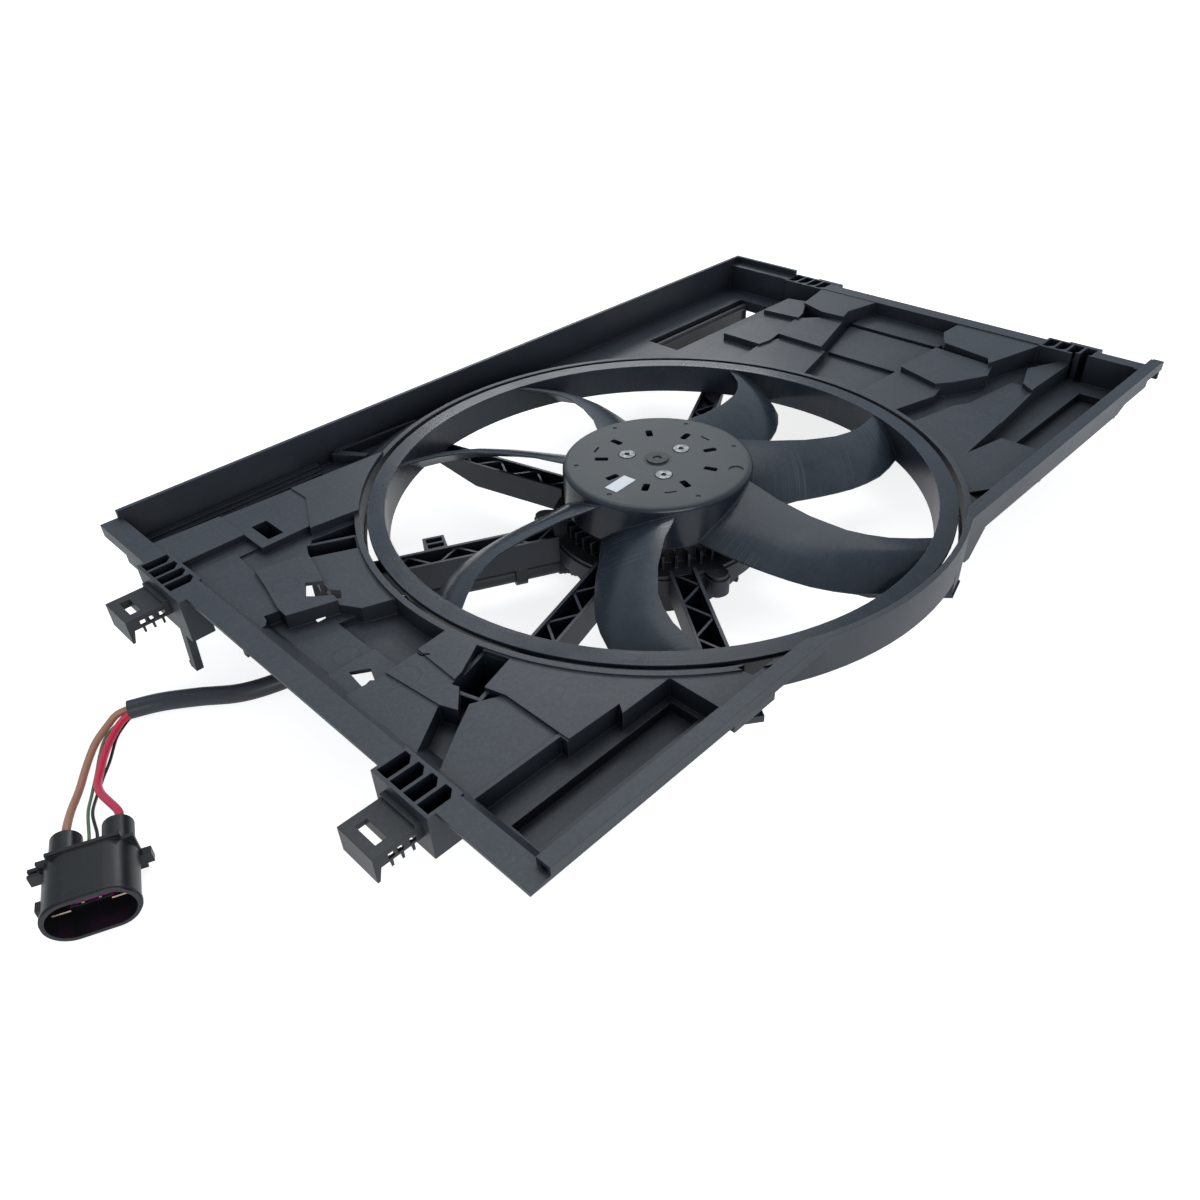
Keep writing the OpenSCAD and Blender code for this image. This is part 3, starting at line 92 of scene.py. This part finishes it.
class Tree:
    """A node tree, with short ways to add nodes and to fill their sockets."""

    def __init__(self, node_tree):
        self.nodes = node_tree.nodes
        self.links = node_tree.links
        self.nodes.clear()

    def fill(self, socket, value):
        """Join an output to a socket, or set a constant on it."""
        if isinstance(value, bpy.types.NodeSocket):
            self.links.new(value, socket)
        else:
            socket.default_value = value

    def fill_in_turn(self, node, values):
        """Fill the first sockets of a node."""
        for socket, value in zip(node.inputs, values):
            self.fill(socket, value)
        return node

    def add(self, kind, **values):
        """A new node, with each value on the socket or the property of that name."""
        row, column = divmod(len(self.nodes), NODES_IN_A_ROW)
        node = self.nodes.new(kind)
        node.location = (NODE_STEP * column, -NODE_STEP * row)
        for key, value in values.items():
            if key in node.inputs:
                self.fill(node.inputs[key], value)
            else:
                setattr(node, key, value)
        return node

    def maths(self, operation, *values, clamp=False):
        node = self.add("ShaderNodeMath", operation=operation, use_clamp=clamp)
        return self.fill_in_turn(node, values).outputs[0]

    def vector(self, operation, *values):
        node = self.add("ShaderNodeVectorMath", operation=operation)
        result = "Value" if operation in MEASURES else "Vector"
        return self.fill_in_turn(node, values).outputs[result]

    def noise(self, where, **values):
        return self.add("ShaderNodeTexNoise", Vector=where, **values).outputs

    def ramp(self, factor, *stops):
        """A colour ramp, with each stop as its position and its grey or colour."""
        node = self.add("ShaderNodeValToRGB")
        self.fill(node.inputs[0], factor)
        elements = node.color_ramp.elements
        while len(elements) < len(stops):
            elements.new(position=0.5)
        for element, (position, value) in zip(elements, stops):
            element.position = position
            element.color = (value, value, value, 1) if isinstance(value, float) else (*value, 1)
        return node.outputs[0]

    def mix(self, factor, first, second, blend_type="MIX"):
        """The first colour, with the second one mixed in."""
        node = self.add("ShaderNodeMix", data_type="RGBA", blend_type=blend_type)
        self.fill(node.inputs[0], factor)
        for slot, value in ((MIX_FIRST, first), (MIX_SECOND, second)):
            self.fill(node.inputs[slot], (*value, 1) if isinstance(value, tuple) else value)
        return node.outputs[MIX_RESULT]

    def bump(self, height, normal, strength, distance):
        return self.add("ShaderNodeBump", Height=height, Normal=normal, Strength=strength,
                        Distance=distance).outputs[0]

    def bevel(self, radius):
        """The surface's normal, as if its edges had this radius."""
        return self.add("ShaderNodeBevel", samples=4, Radius=radius).outputs[0]

    def surface(self, colour, roughness, normal, level=0.5, metallic=0.0):
        """The shader of a material, joined to its output."""
        node = self.add("ShaderNodeBsdfPrincipled", Metallic=metallic, Roughness=roughness, Normal=normal)
        self.fill(node.inputs["Base Color"], colour)
        self.fill(node.inputs["Specular IOR Level"], level)
        self.add("ShaderNodeOutputMaterial", Surface=node.outputs[0])


def new_material(name):
    look = bpy.data.materials.new(name)
    look.use_nodes = True
    return look


def lit(colour, factor, extra=0.0):
    """A brighter or darker tone of a colour."""
    return tuple(min(1.0, factor * part + extra) for part in colour)


# Sizes that the looks follow, in metres
FAN_AXIS = (FAN_X / 1000, FAN_Y / 1000 + PART_Y, 0)
RING_R = 0.2
HUB_TOP_R = 0.067
DISH_R = 0.014
EDGE_R = 0.0006
METAL_EDGE_R = 0.0003
GRAIN_DEPTH = 0.0002
STREAK_DEPTH = 0.0004
PIN_RING_R = 0.008
PIN_LINE_W = 0.0004
PIN_DEPTH = 0.0003
HOLLOW_REACH = 0.028

# Strengths and tones of the layers
IN_PLAN = (1, 1, 0)
UPWARD_POWER = 3.0
SMEAR_SHARE = 0.42
DUST_LIGHT = 2.2
DUST_EXTRA = 0.03
# Share of the painted highlight on rounded edges
EDGE_HIGHLIGHT_SHARE = 0.55
HUB_DARK = 0.80
HUB_ROUGH = 0.55
# Tint of the painted shade in hollows
HOLLOW_SHADE_TINT = (0.08, 0.13, 0.22)
# Grey of the painted sheen in the middle of the blades, in smeared patches
SHEEN_AND_SMEAR_GREY = (0.066, 0.080, 0.102)
# Grey of the scuff marks and painted highlight streaks on the blades
SCUFF_AND_HIGHLIGHT_GREY = (0.16, 0.175, 0.19)
PIN_BUMP = 0.5
PIN_SHARE = 0.35
PIN_DARK = 0.5
METAL_SPREAD = 0.12
METAL_STAIN = 0.7
METAL_BRUSH = 0.15


class Plastic(Tree):
    """Moulded plastic: a mottled colour and a fine grain, with further layers laid over them in turn."""

    def __init__(self, look, base, dark, rough, grain, spread):
        super().__init__(look.node_tree)
        self.base = base
        self.dark = dark
        self.where = self.add("ShaderNodeTexCoord").outputs["Object"]
        self.face = self.add("ShaderNodeNewGeometry").outputs["Normal"]
        slope = self.add("ShaderNodeSeparateXYZ", Vector=self.face).outputs["Z"]
        self.upward = self.maths("POWER", slope, UPWARD_POWER, clamp=True)
        self.rounded = self.bevel(EDGE_R)
        cloud = self.noise(self.where, Scale=9.0, Detail=5.0, Roughness=0.6)
        smear = self.noise(self.where, Scale=48.0, Detail=4.0, Roughness=0.65)
        self.speck = self.noise(self.where, Scale=420.0, Detail=3.0, Roughness=0.7)["Fac"]
        mottle = self.mix(SMEAR_SHARE, cloud["Color"], smear["Color"])
        self.tone = self.ramp(mottle, (0.36, dark), (0.62, base))
        self.colour = self.tone
        self.roughness = self.ramp(cloud["Fac"], (0.3, rough - spread), (0.7, rough + spread))
        self.normal = self.bump(self.speck, self.rounded, grain, GRAIN_DEPTH)

    def from_axis(self):
        """Distance from the fan's axis."""
        return self.vector("DISTANCE", self.vector("MULTIPLY", self.where, IN_PLAN), FAN_AXIS)

    def dust(self, amount):
        """Pale specks lie on what faces up."""
        spots = self.ramp(self.speck, (0.42, 0.25), (0.72, 1.0))
        lying = self.maths("MULTIPLY", self.upward, spots, clamp=True)
        share = self.maths("MULTIPLY", lying, amount)
        self.colour = self.mix(share, self.colour, lit(self.base, DUST_LIGHT, DUST_EXTRA))

    def hub_top(self, pale):
        """The hub's flat top is paler and duller, with painted shade in a ring round a bright dot at the
        axis, standing for a shallow hollow.
        """
        distance = self.from_axis()
        near = self.maths("LESS_THAN", distance, HUB_TOP_R)
        on_hub = self.maths("MULTIPLY", near, self.upward)
        plain = self.mix(self.tone, lit(pale, HUB_DARK), pale)
        # Painted shade of a shallow hollow round the axis, leaving a bright dot in the middle
        reach = self.maths("DIVIDE", distance, DISH_R)
        dish_shade = self.ramp(reach, (0.0, 1.0), (0.075, 1.0), (0.10, 0.30), (0.45, 0.42), (0.72, 0.62),
                         (0.80, 1.0))
        self.colour = self.mix(on_hub, self.colour, self.mix(1.0, plain, dish_shade, "MULTIPLY"))
        dull = self.maths("MULTIPLY", on_hub, HUB_ROUGH)
        self.roughness = self.maths("MAXIMUM", dull, self.roughness)

    def hollow_shade(self, amount):
        """Painted shade: the colour darkens in hollows and at the feet of walls, where ambient occlusion
        finds them.
        """
        hollow = self.add("ShaderNodeAmbientOcclusion", samples=6, Distance=HOLLOW_REACH)
        depth = self.ramp(hollow.outputs["AO"], (0.30, 1.0), (0.95, 0.0))
        share = self.maths("MULTIPLY", depth, amount)
        tone = tuple(tint * part for tint, part in zip(HOLLOW_SHADE_TINT, self.dark))
        self.colour = self.mix(share, self.colour, tone)

    def edge_highlights(self, light):
        """Painted highlight: the colour is lighter along rounded edges, raised and hollow, as if they caught
        the light.
        """
        bend = self.vector("DOT_PRODUCT", self.rounded, self.face)
        highlight_mask = self.ramp(bend, (0.82, 1.0), (0.995, 0.0))
        share = self.maths("MULTIPLY", highlight_mask, EDGE_HIGHLIGHT_SHARE)
        self.colour = self.mix(share, self.colour, lit(self.base, light))

    def turning_streaks(self, strength):
        """Fine streaks round the axis, with the blades' painted sheen and their scuff marks with painted
        highlight streaks.
        """
        distance = self.from_axis()
        streaks = self.add("ShaderNodeTexNoise", noise_dimensions="1D", W=distance, Scale=700.0, Detail=2.0)
        wave = streaks.outputs["Fac"]
        self.normal = self.bump(wave, self.normal, strength, STREAK_DEPTH)
        # Painted sheen in the middle of the blades
        self.sheen_and_smears(distance)
        # Scuff marks with painted highlight streaks
        self.scuffs_and_highlight_streaks(wave)

    def sheen_and_smears(self, distance):
        """Painted sheen, in soft smeared patches: the middle of each blade is lighter grey."""
        share = self.maths("DIVIDE", distance, RING_R)
        sheen_band = self.ramp(share, (0.36, 0.0), (0.60, 1.0), (0.76, 0.9), (0.93, 0.1))
        wipe = self.noise(self.where, Scale=11.0, Detail=6.0, Roughness=0.7)["Fac"]
        wiped = self.ramp(wipe, (0.40, 0.0), (0.66, 0.62))
        sheen_share = self.maths("MULTIPLY", sheen_band, wiped)
        self.colour = self.mix(sheen_share, self.colour, SHEEN_AND_SMEAR_GREY)

    def scuffs_and_highlight_streaks(self, wave):
        """Pale scuff marks and painted highlight streaks along the turning direction, in patches."""
        lines = self.ramp(wave, (0.56, 0.0), (0.68, 1.0))
        spread = self.noise(self.where, Scale=16.0, Detail=2.0)["Fac"]
        patches = self.ramp(spread, (0.54, 0.0), (0.70, 0.42))
        scuff_and_highlight_share = self.maths("MULTIPLY", lines, patches)
        self.colour = self.mix(scuff_and_highlight_share, self.colour, SCUFF_AND_HIGHLIGHT_GREY)

    def pin_rings(self, places):
        """Faint rings left by the mould's pins, at these places of the design."""
        rings = 0.0
        for x, y in places:
            offset = self.vector("SUBTRACT", self.where, mm(x, y, 0))
            distance = self.vector("LENGTH", self.vector("MULTIPLY", offset, IN_PLAN))
            ring = self.maths("COMPARE", distance, PIN_RING_R, PIN_LINE_W)
            rings = self.maths("MAXIMUM", rings, ring)
        self.normal = self.bump(rings, self.normal, PIN_BUMP, PIN_DEPTH)
        faint = self.maths("MULTIPLY", rings, PIN_SHARE)
        self.colour = self.mix(faint, self.colour, lit(self.dark, PIN_DARK))


def moulded(name, base, dark, rough, grain, spread=0.07, level=0.5, dust=0.25, edge_light=2.2,
            hub=None, hollow_shade=0.0, streak=0.0, pins=()):
    """A look of moulded plastic with dust and painted edge highlights, and with the other layers, painted
    shade in hollows among them, where they are given.
    """
    look = new_material(name)
    layers = Plastic(look, base, dark, rough, grain, spread)
    layers.dust(dust)
    if hub:
        layers.hub_top(hub)
    # Painted shade in hollows and at the feet of walls
    if hollow_shade:
        layers.hollow_shade(hollow_shade)
    # Painted highlight along rounded edges
    layers.edge_highlights(edge_light)
    if streak:
        layers.turning_streaks(streak)
    if pins:
        layers.pin_rings(pins)
    layers.surface(layers.colour, layers.roughness, layers.normal, level)
    return look


def wire_look(name, base, dark, rough):
    """A coloured wire's skin, clean and smooth."""
    return moulded(name, base, dark, rough, grain=0.08, edge_light=1.2, dust=0.05)


def metal(name, base, rough, scale=300.0, stretch=(1, 1, 1)):
    """A look of machined or plated metal, with fine brush marks and small stains."""
    look = new_material(name)
    tree = Tree(look.node_tree)
    where = tree.add("ShaderNodeTexCoord").outputs["Object"]
    pulled = tree.add("ShaderNodeMapping", Vector=where, Scale=stretch).outputs[0]
    brush = tree.noise(pulled, Scale=scale, Detail=4.0)["Fac"]
    stain = tree.noise(where, Scale=60.0, Detail=3.0)["Fac"]
    colour = tree.ramp(stain, (0.3, lit(base, METAL_STAIN)), (0.65, base))
    roughness = tree.ramp(brush, (0.3, rough - METAL_SPREAD), (0.7, rough + METAL_SPREAD))
    normal = tree.bump(brush, tree.bevel(METAL_EDGE_R), METAL_BRUSH, GRAIN_DEPTH)
    tree.surface(colour, roughness, normal, metallic=1.0)
    return look


# Looks of the mouldings
PIN_PLACES = [(-298, -11), (-290, -58), (-291, 62), (-234, 29)]
shroud_look = moulded("shroud_look", base=(0.042, 0.049, 0.060), dark=(0.027, 0.032, 0.043), rough=0.42,
                      grain=0.35, hollow_shade=0.96, pins=PIN_PLACES)
fan_look = moulded("fan_look", base=(0.033, 0.041, 0.054), dark=(0.013, 0.018, 0.029), rough=0.26,
                   grain=0.12, spread=0.12, dust=0.12, hub=(0.072, 0.082, 0.090), hollow_shade=0.6, streak=0.10)
clip_look = moulded("clip_look", base=(0.030, 0.033, 0.038), dark=(0.022, 0.024, 0.028), rough=0.42,
                    grain=0.25)
cover_look = moulded("cover_look", base=(0.028, 0.030, 0.034), dark=(0.020, 0.022, 0.025), rough=0.5,
                     grain=0.4)
plug_look = moulded("connector_look", base=(0.012, 0.013, 0.016), dark=(0.008, 0.009, 0.011), rough=0.36,
                    grain=0.25, dust=0.12, edge_light=4.0)
insert_look = moulded("insert_look", base=(0.55, 0.015, 0.36), dark=(0.42, 0.01, 0.27), rough=0.3,
                      grain=0.1, edge_light=1.5)

# Looks of the lead
rubber_look = moulded("rubber_look", base=(0.016, 0.017, 0.019), dark=(0.011, 0.012, 0.013), rough=0.55,
                      grain=0.5)
sleeve_look = moulded("sleeve_look", base=(0.040, 0.045, 0.056), dark=(0.030, 0.034, 0.043), rough=0.42,
                      grain=0.4)
brown_look = wire_look("wire_brown_look", base=(0.56, 0.275, 0.18), dark=(0.49, 0.23, 0.15), rough=0.36)
red_look = wire_look("wire_red_look", base=(0.90, 0.035, 0.105), dark=(0.80, 0.028, 0.085), rough=0.34)
green_look = wire_look("wire_green_look", base=(0.15, 0.29, 0.14), dark=(0.11, 0.22, 0.1), rough=0.34)
black_look = moulded("wire_black_look", base=(0.012, 0.012, 0.014), dark=(0.008, 0.008, 0.01), rough=0.3,
                     grain=0.1)

# Looks of the motor and of the small pieces
board_look = moulded("board_look", base=(0.02, 0.16, 0.05), dark=(0.015, 0.11, 0.035), rough=0.3,
                     grain=0.1, edge_light=1.4)
label_look = moulded("label_look", base=(0.82, 0.84, 0.87), dark=(0.76, 0.78, 0.82), rough=0.45,
                     grain=0.05, edge_light=1.0)
magnet_look = moulded("magnet_look", base=(0.035, 0.035, 0.038), dark=(0.025, 0.025, 0.027), rough=0.5,
                      grain=0.5)
# The fins' ridges get a strong painted edge highlight
base_look = moulded("motor_base_look", base=(0.030, 0.030, 0.034), dark=(0.018, 0.018, 0.022), rough=0.4,
                    grain=0.5, level=0.6, edge_light=7.0, hollow_shade=0.8)
bell_look = moulded("bell_look", base=(0.03, 0.03, 0.033), dark=(0.02, 0.02, 0.022), rough=0.3,
                    grain=0.1, level=0.7)
steel_look = metal("screw_look", base=(0.22, 0.23, 0.24), rough=0.45)
bearing_look = metal("bearing_look", base=(0.62, 0.62, 0.63), rough=0.22)
iron_look = metal("stator_look", base=(0.3, 0.28, 0.26), rough=0.45, scale=900.0, stretch=(0.02, 0.02, 6))
copper_look = metal("copper_look", base=(0.72, 0.3, 0.13), rough=0.3, scale=900.0, stretch=(6, 0.2, 6))
tin_look = metal("terminal_look", base=(0.7, 0.6, 0.5), rough=0.3, stretch=(1, 6, 1))

LOOKS = {
    "shroud": shroud_look, "fan_wheel": fan_look, "hub_label": label_look, "fan_screws": steel_look,
    "flap_left": clip_look, "flap_right": clip_look, "retaining_clip_a": clip_look,
    "retaining_clip_b": clip_look, "retaining_clip_c": clip_look, "retaining_clip_d": clip_look,
    "rotor_bell": bell_look, "rotor_magnets": magnet_look, "motor_shaft": steel_look,
    "motor_base": base_look, "front_bearing": bearing_look, "rear_bearing": bearing_look,
    "stator_core": iron_look, "stator_windings": copper_look, "circuit_board": board_look,
    "electronics_cover": cover_look, "motor_screws": steel_look,
    "cable_gland": rubber_look, "cable_clips": clip_look, "wire_seals": rubber_look,
    "connector_housing": plug_look, "connector_insert": insert_look,
    "power_terminals": tin_look, "signal_terminals": tin_look,
    "cable_sleeve": sleeve_look, "wire_brown": brown_look, "wire_red": red_look,
    "wire_green": green_look, "wire_black": black_look,
}


def dress(piece, look):
    """Put one look on all of a piece."""
    if not piece.material_slots:
        piece.data.materials.append(look)
    for slot in piece.material_slots:
        slot.material = look


for node_name, node_look in LOOKS.items():
    dress(NODES[node_name], node_look)

# Thicknesses of the lead's cords, in metres, and the number of places along each
SLEEVE_D = 0.012
POWER_WIRE_D = 0.0046
SIGNAL_WIRE_D = 0.0018
SLEEVE_STEPS = 90
WIRE_STEPS = 60

# Routes of the lead, as the part's source has them, in millimetres
CABLE_ANGLE = math.radians(153)
STRUT_REACHES = (72, 92, 112, 132, 152)
GLAND_Z = -58.5
PLUG_X = -454.3
PLUG_Y = 6.3
PLUG_Z = -65
PLUG_TURN = math.radians(157)
BOOT_X = 13
BOOT_L = 22
MIDDLE_BOOT_X = 2
MIDDLE_BOOT_Z = -1
MIDDLE_BOOT_L = 13


def by_hand(*places):
    """Points of a route, given one by one."""
    return [mm(*place) for place in places]


def under_strut(reach):
    """A point under the strut that carries the lead, at a distance from the fan's axis."""
    x = FAN_X + reach * math.cos(CABLE_ANGLE)
    y = FAN_Y + reach * math.sin(CABLE_ANGLE)
    return mm(x, y, GLAND_Z)


def into_boot(x, z, length, *gaps):
    """Points on a boot's axis, each at a gap before the boot's end; a gap below zero lies inside."""
    cos, sin = math.cos(PLUG_TURN), math.sin(PLUG_TURN)
    depths = [-length - gap for gap in gaps]
    return [mm(PLUG_X + x * cos - y * sin, PLUG_Y + x * sin + y * cos, PLUG_Z + z) for y in depths]


sleeve_route = [under_strut(reach) for reach in STRUT_REACHES] + by_hand(
    (-204, 57, -59), (-225, 59, -60), (-246, 59, -62), (-267, 58, -64), (-288, 58, -66),
    (-309, 64, -69), (-332, 76, -71.5), (-352, 95, -73.2), (-371, 109.5, -73.7), (-388, 117.5, -73.7))
brown_route = by_hand(
    (-385.5, 119.1, -74.6), (-394, 121.5, -75.6), (-402, 118, -76.8), (-414, 108.5, -77.2),
    (-425, 94.5, -77.2), (-437, 74, -74.5), (-447, 56, -69.5)) + into_boot(BOOT_X, 0, BOOT_L, 10, 3, -3)
red_route = by_hand(
    (-387.7, 114.6, -74.6), (-394, 113.2, -75.2), (-401.5, 107.5, -75.6), (-412, 96, -75.4),
    (-422, 80.6, -75), (-429.5, 62, -71.5)) + into_boot(-BOOT_X, 0, BOOT_L, 11, 3, -3)
green_route = by_hand(
    (-386.7, 118, -77.7), (-394, 117, -78.4), (-401, 115, -78.7), (-408.5, 109.5, -78.8),
    (-416.5, 98, -78.8), (-424, 84.6, -78.6), (-433.6, 65.7, -75.5), (-441, 47.5, -69.5)
) + into_boot(MIDDLE_BOOT_X, MIDDLE_BOOT_Z, MIDDLE_BOOT_L, 9, 2, -4.5)
black_route = by_hand(
    (-387.3, 116, -77.7), (-394, 112.7, -78.5), (-403, 105, -78.8), (-414, 89, -78.8),
    (-422.5, 78.5, -78.8), (-432, 62.5, -75.5), (-439.5, 45, -69.5)
) + into_boot(-MIDDLE_BOOT_X, MIDDLE_BOOT_Z, MIDDLE_BOOT_L, 9, 2, -4.5)


def smooth_curve(points, count):
    """Places along a smooth curve through all the points."""
    last = len(points) - 1
    places = []
    for k in range(count):
        along = k / (count - 1) * last
        i = min(int(along), last - 1)
        t = along - i
        a, b = points[max(i - 1, 0)], points[i]
        c, d = points[min(i + 1, last)], points[min(i + 2, last)]
        places.append(0.5 * (2 * b + (c - a) * t + (2 * a - 5 * b + 4 * c - d) * t ** 2
                             + (3 * b - a - 3 * c + d) * t ** 3))
    return places


def round_curve(name, places, diameter, look):
    """A round cord through the places, closed at both ends."""
    curve = bpy.data.curves.new(name, "CURVE")
    curve.dimensions = "3D"
    curve.bevel_depth = diameter / 2
    curve.bevel_resolution = 5
    curve.use_fill_caps = True
    spline = curve.splines.new("POLY")
    spline.points.add(len(places) - 1)
    for point, place in zip(spline.points, places):
        point.co = (*place, 1)
    spline.use_smooth = True
    curve.materials.append(look)
    return add_object(name, curve)


def cord_piece(name, route, diameter, count, look, cad_node):
    """A cord that stands for its node of the part, fixed to the shroud."""
    places = smooth_curve(route, count)
    cord = round_curve(name, places, diameter, look)
    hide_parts(cad_node)
    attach(cord, "shroud_and_motor")


def wire(colour, route, diameter, look):
    """A wire that ends in the connector."""
    cord_piece("lead_" + colour, route, diameter, WIRE_STEPS, look, "wire_" + colour)


cord_piece("lead_sleeve", sleeve_route, SLEEVE_D, SLEEVE_STEPS, sleeve_look, "cable_sleeve")
wire("brown", brown_route, POWER_WIRE_D, brown_look)
wire("red", red_route, POWER_WIRE_D, red_look)
wire("green", green_route, SIGNAL_WIRE_D, green_look)
wire("black", black_route, SIGNAL_WIRE_D, black_look)

# Smooth shading of round CAD faces
WELD_GAP = 0.000004
SHARP_ANGLE = math.radians(28)


def smooth_round_faces():
    """A modifier's node group: faces are shaded smooth, and edges above the sharp angle stay sharp."""
    group = bpy.data.node_groups.new("smooth_round_faces", "GeometryNodeTree")
    for direction in ("INPUT", "OUTPUT"):
        group.interface.new_socket("Geometry", in_out=direction, socket_type="NodeSocketGeometry")
    tree = Tree(group)
    whole = tree.add("NodeGroupInput").outputs[0]
    welded = tree.add("GeometryNodeMergeByDistance", Geometry=whole, Distance=WELD_GAP).outputs[0]
    faces = tree.add("GeometryNodeSetShadeSmooth", domain="FACE", Geometry=welded).outputs[0]
    angle = tree.add("GeometryNodeInputMeshEdgeAngle").outputs["Unsigned Angle"]
    compare = tree.add("FunctionNodeCompare", operation="LESS_EQUAL")
    blunt = tree.fill_in_turn(compare, (angle, SHARP_ANGLE)).outputs[0]
    edges = tree.add("GeometryNodeSetShadeSmooth", domain="EDGE", Geometry=faces)
    tree.fill(edges.inputs["Shade Smooth"], blunt)
    tree.fill(tree.add("NodeGroupOutput").inputs[0], edges.outputs[0])
    return group


smooth_group = smooth_round_faces()
for piece in NODES.values():
    piece.modifiers.new("smooth", "NODES").node_group = smooth_group

# Floor and light
FLOOR_SIZE = 6
FLOOR_Z = -0.0004
FLOOR_GLOW = 0.8
MIRRORED_GLOW = 0.5
SKY = (0.80, 0.91, 1.0, 1)
SKY_STRENGTH = 0.42
WHITE = (1, 1, 1, 1)


def floor_look():
    """A white floor whose own glow is only seen by the camera, through glass and, weaker, in reflections."""
    look = new_material("floor_look")
    tree = Tree(look.node_tree)
    path = tree.add("ShaderNodeLightPath").outputs
    mirrored = tree.maths("MULTIPLY", path["Is Glossy Ray"], MIRRORED_GLOW)
    seen = tree.maths("MAXIMUM", path["Is Camera Ray"], mirrored)
    seen = tree.maths("MAXIMUM", seen, path["Is Transmission Ray"])
    strength = tree.maths("MULTIPLY", seen, FLOOR_GLOW)
    glow = tree.add("ShaderNodeEmission", Color=WHITE, Strength=strength).outputs[0]
    cloth = tree.add("ShaderNodeTexNoise", Scale=40.0).outputs["Fac"]
    dull = tree.add("ShaderNodeBsdfDiffuse", Color=tree.ramp(cloth, (0.3, 0.78), (0.7, 0.8))).outputs[0]
    both = tree.fill_in_turn(tree.add("ShaderNodeAddShader"), (dull, glow)).outputs[0]
    tree.add("ShaderNodeOutputMaterial", Surface=both)
    return look


def stage_floor():
    """A square floor just under the part."""
    mesh = bpy.data.meshes.new("floor")
    grid = bmesh.new()
    bmesh.ops.create_grid(grid, x_segments=1, y_segments=1, size=FLOOR_SIZE)
    grid.to_mesh(mesh)
    grid.free()
    mesh.materials.append(floor_look())
    floor = add_object("floor", mesh)
    floor.location = (0, 0, FLOOR_Z)


def studio_world():
    """A soft pale sky that lights the part, seen as plain white by the camera."""
    world = bpy.data.worlds.new("studio")
    bpy.context.scene.world = world
    world.use_nodes = True
    tree = Tree(world.node_tree)
    soft = tree.add("ShaderNodeBackground", Color=SKY, Strength=SKY_STRENGTH).outputs[0]
    plain = tree.add("ShaderNodeBackground", Color=WHITE, Strength=1.0).outputs[0]
    by_camera = tree.add("ShaderNodeLightPath").outputs["Is Camera Ray"]
    chosen = tree.fill_in_turn(tree.add("ShaderNodeMixShader"), (by_camera, soft, plain)).outputs[0]
    tree.add("ShaderNodeOutputWorld", Surface=chosen)


def area_light(name, place, target, size, power, colour):
    """A rectangular lamp that looks from its place at the target."""
    data = bpy.data.lights.new(name, "AREA")
    data.shape = "RECTANGLE"
    data.size, data.size_y = size
    data.energy = power
    data.color = colour
    lamp = add_object(name, data)
    lamp.location = place
    lamp.rotation_euler = (Vector(target) - Vector(place)).to_track_quat("-Z", "Y").to_euler()


stage_floor()
studio_world()
area_light("top_light", place=(0.3, 0.5, 2.0), target=(0, 0, 0), size=(2.0, 1.6), power=12,
           colour=(0.96, 0.985, 1.0))
area_light("back_light", place=(1.2, 1.3, 1.1), target=(0, 0, 0.05), size=(0.9, 0.35), power=7,
           colour=(0.98, 0.99, 1.0))
area_light("front_light", place=(-0.9, -1.7, 0.75), target=(0, 0, 0.05), size=(1.4, 0.8), power=11,
           colour=(0.98, 0.99, 1.0))
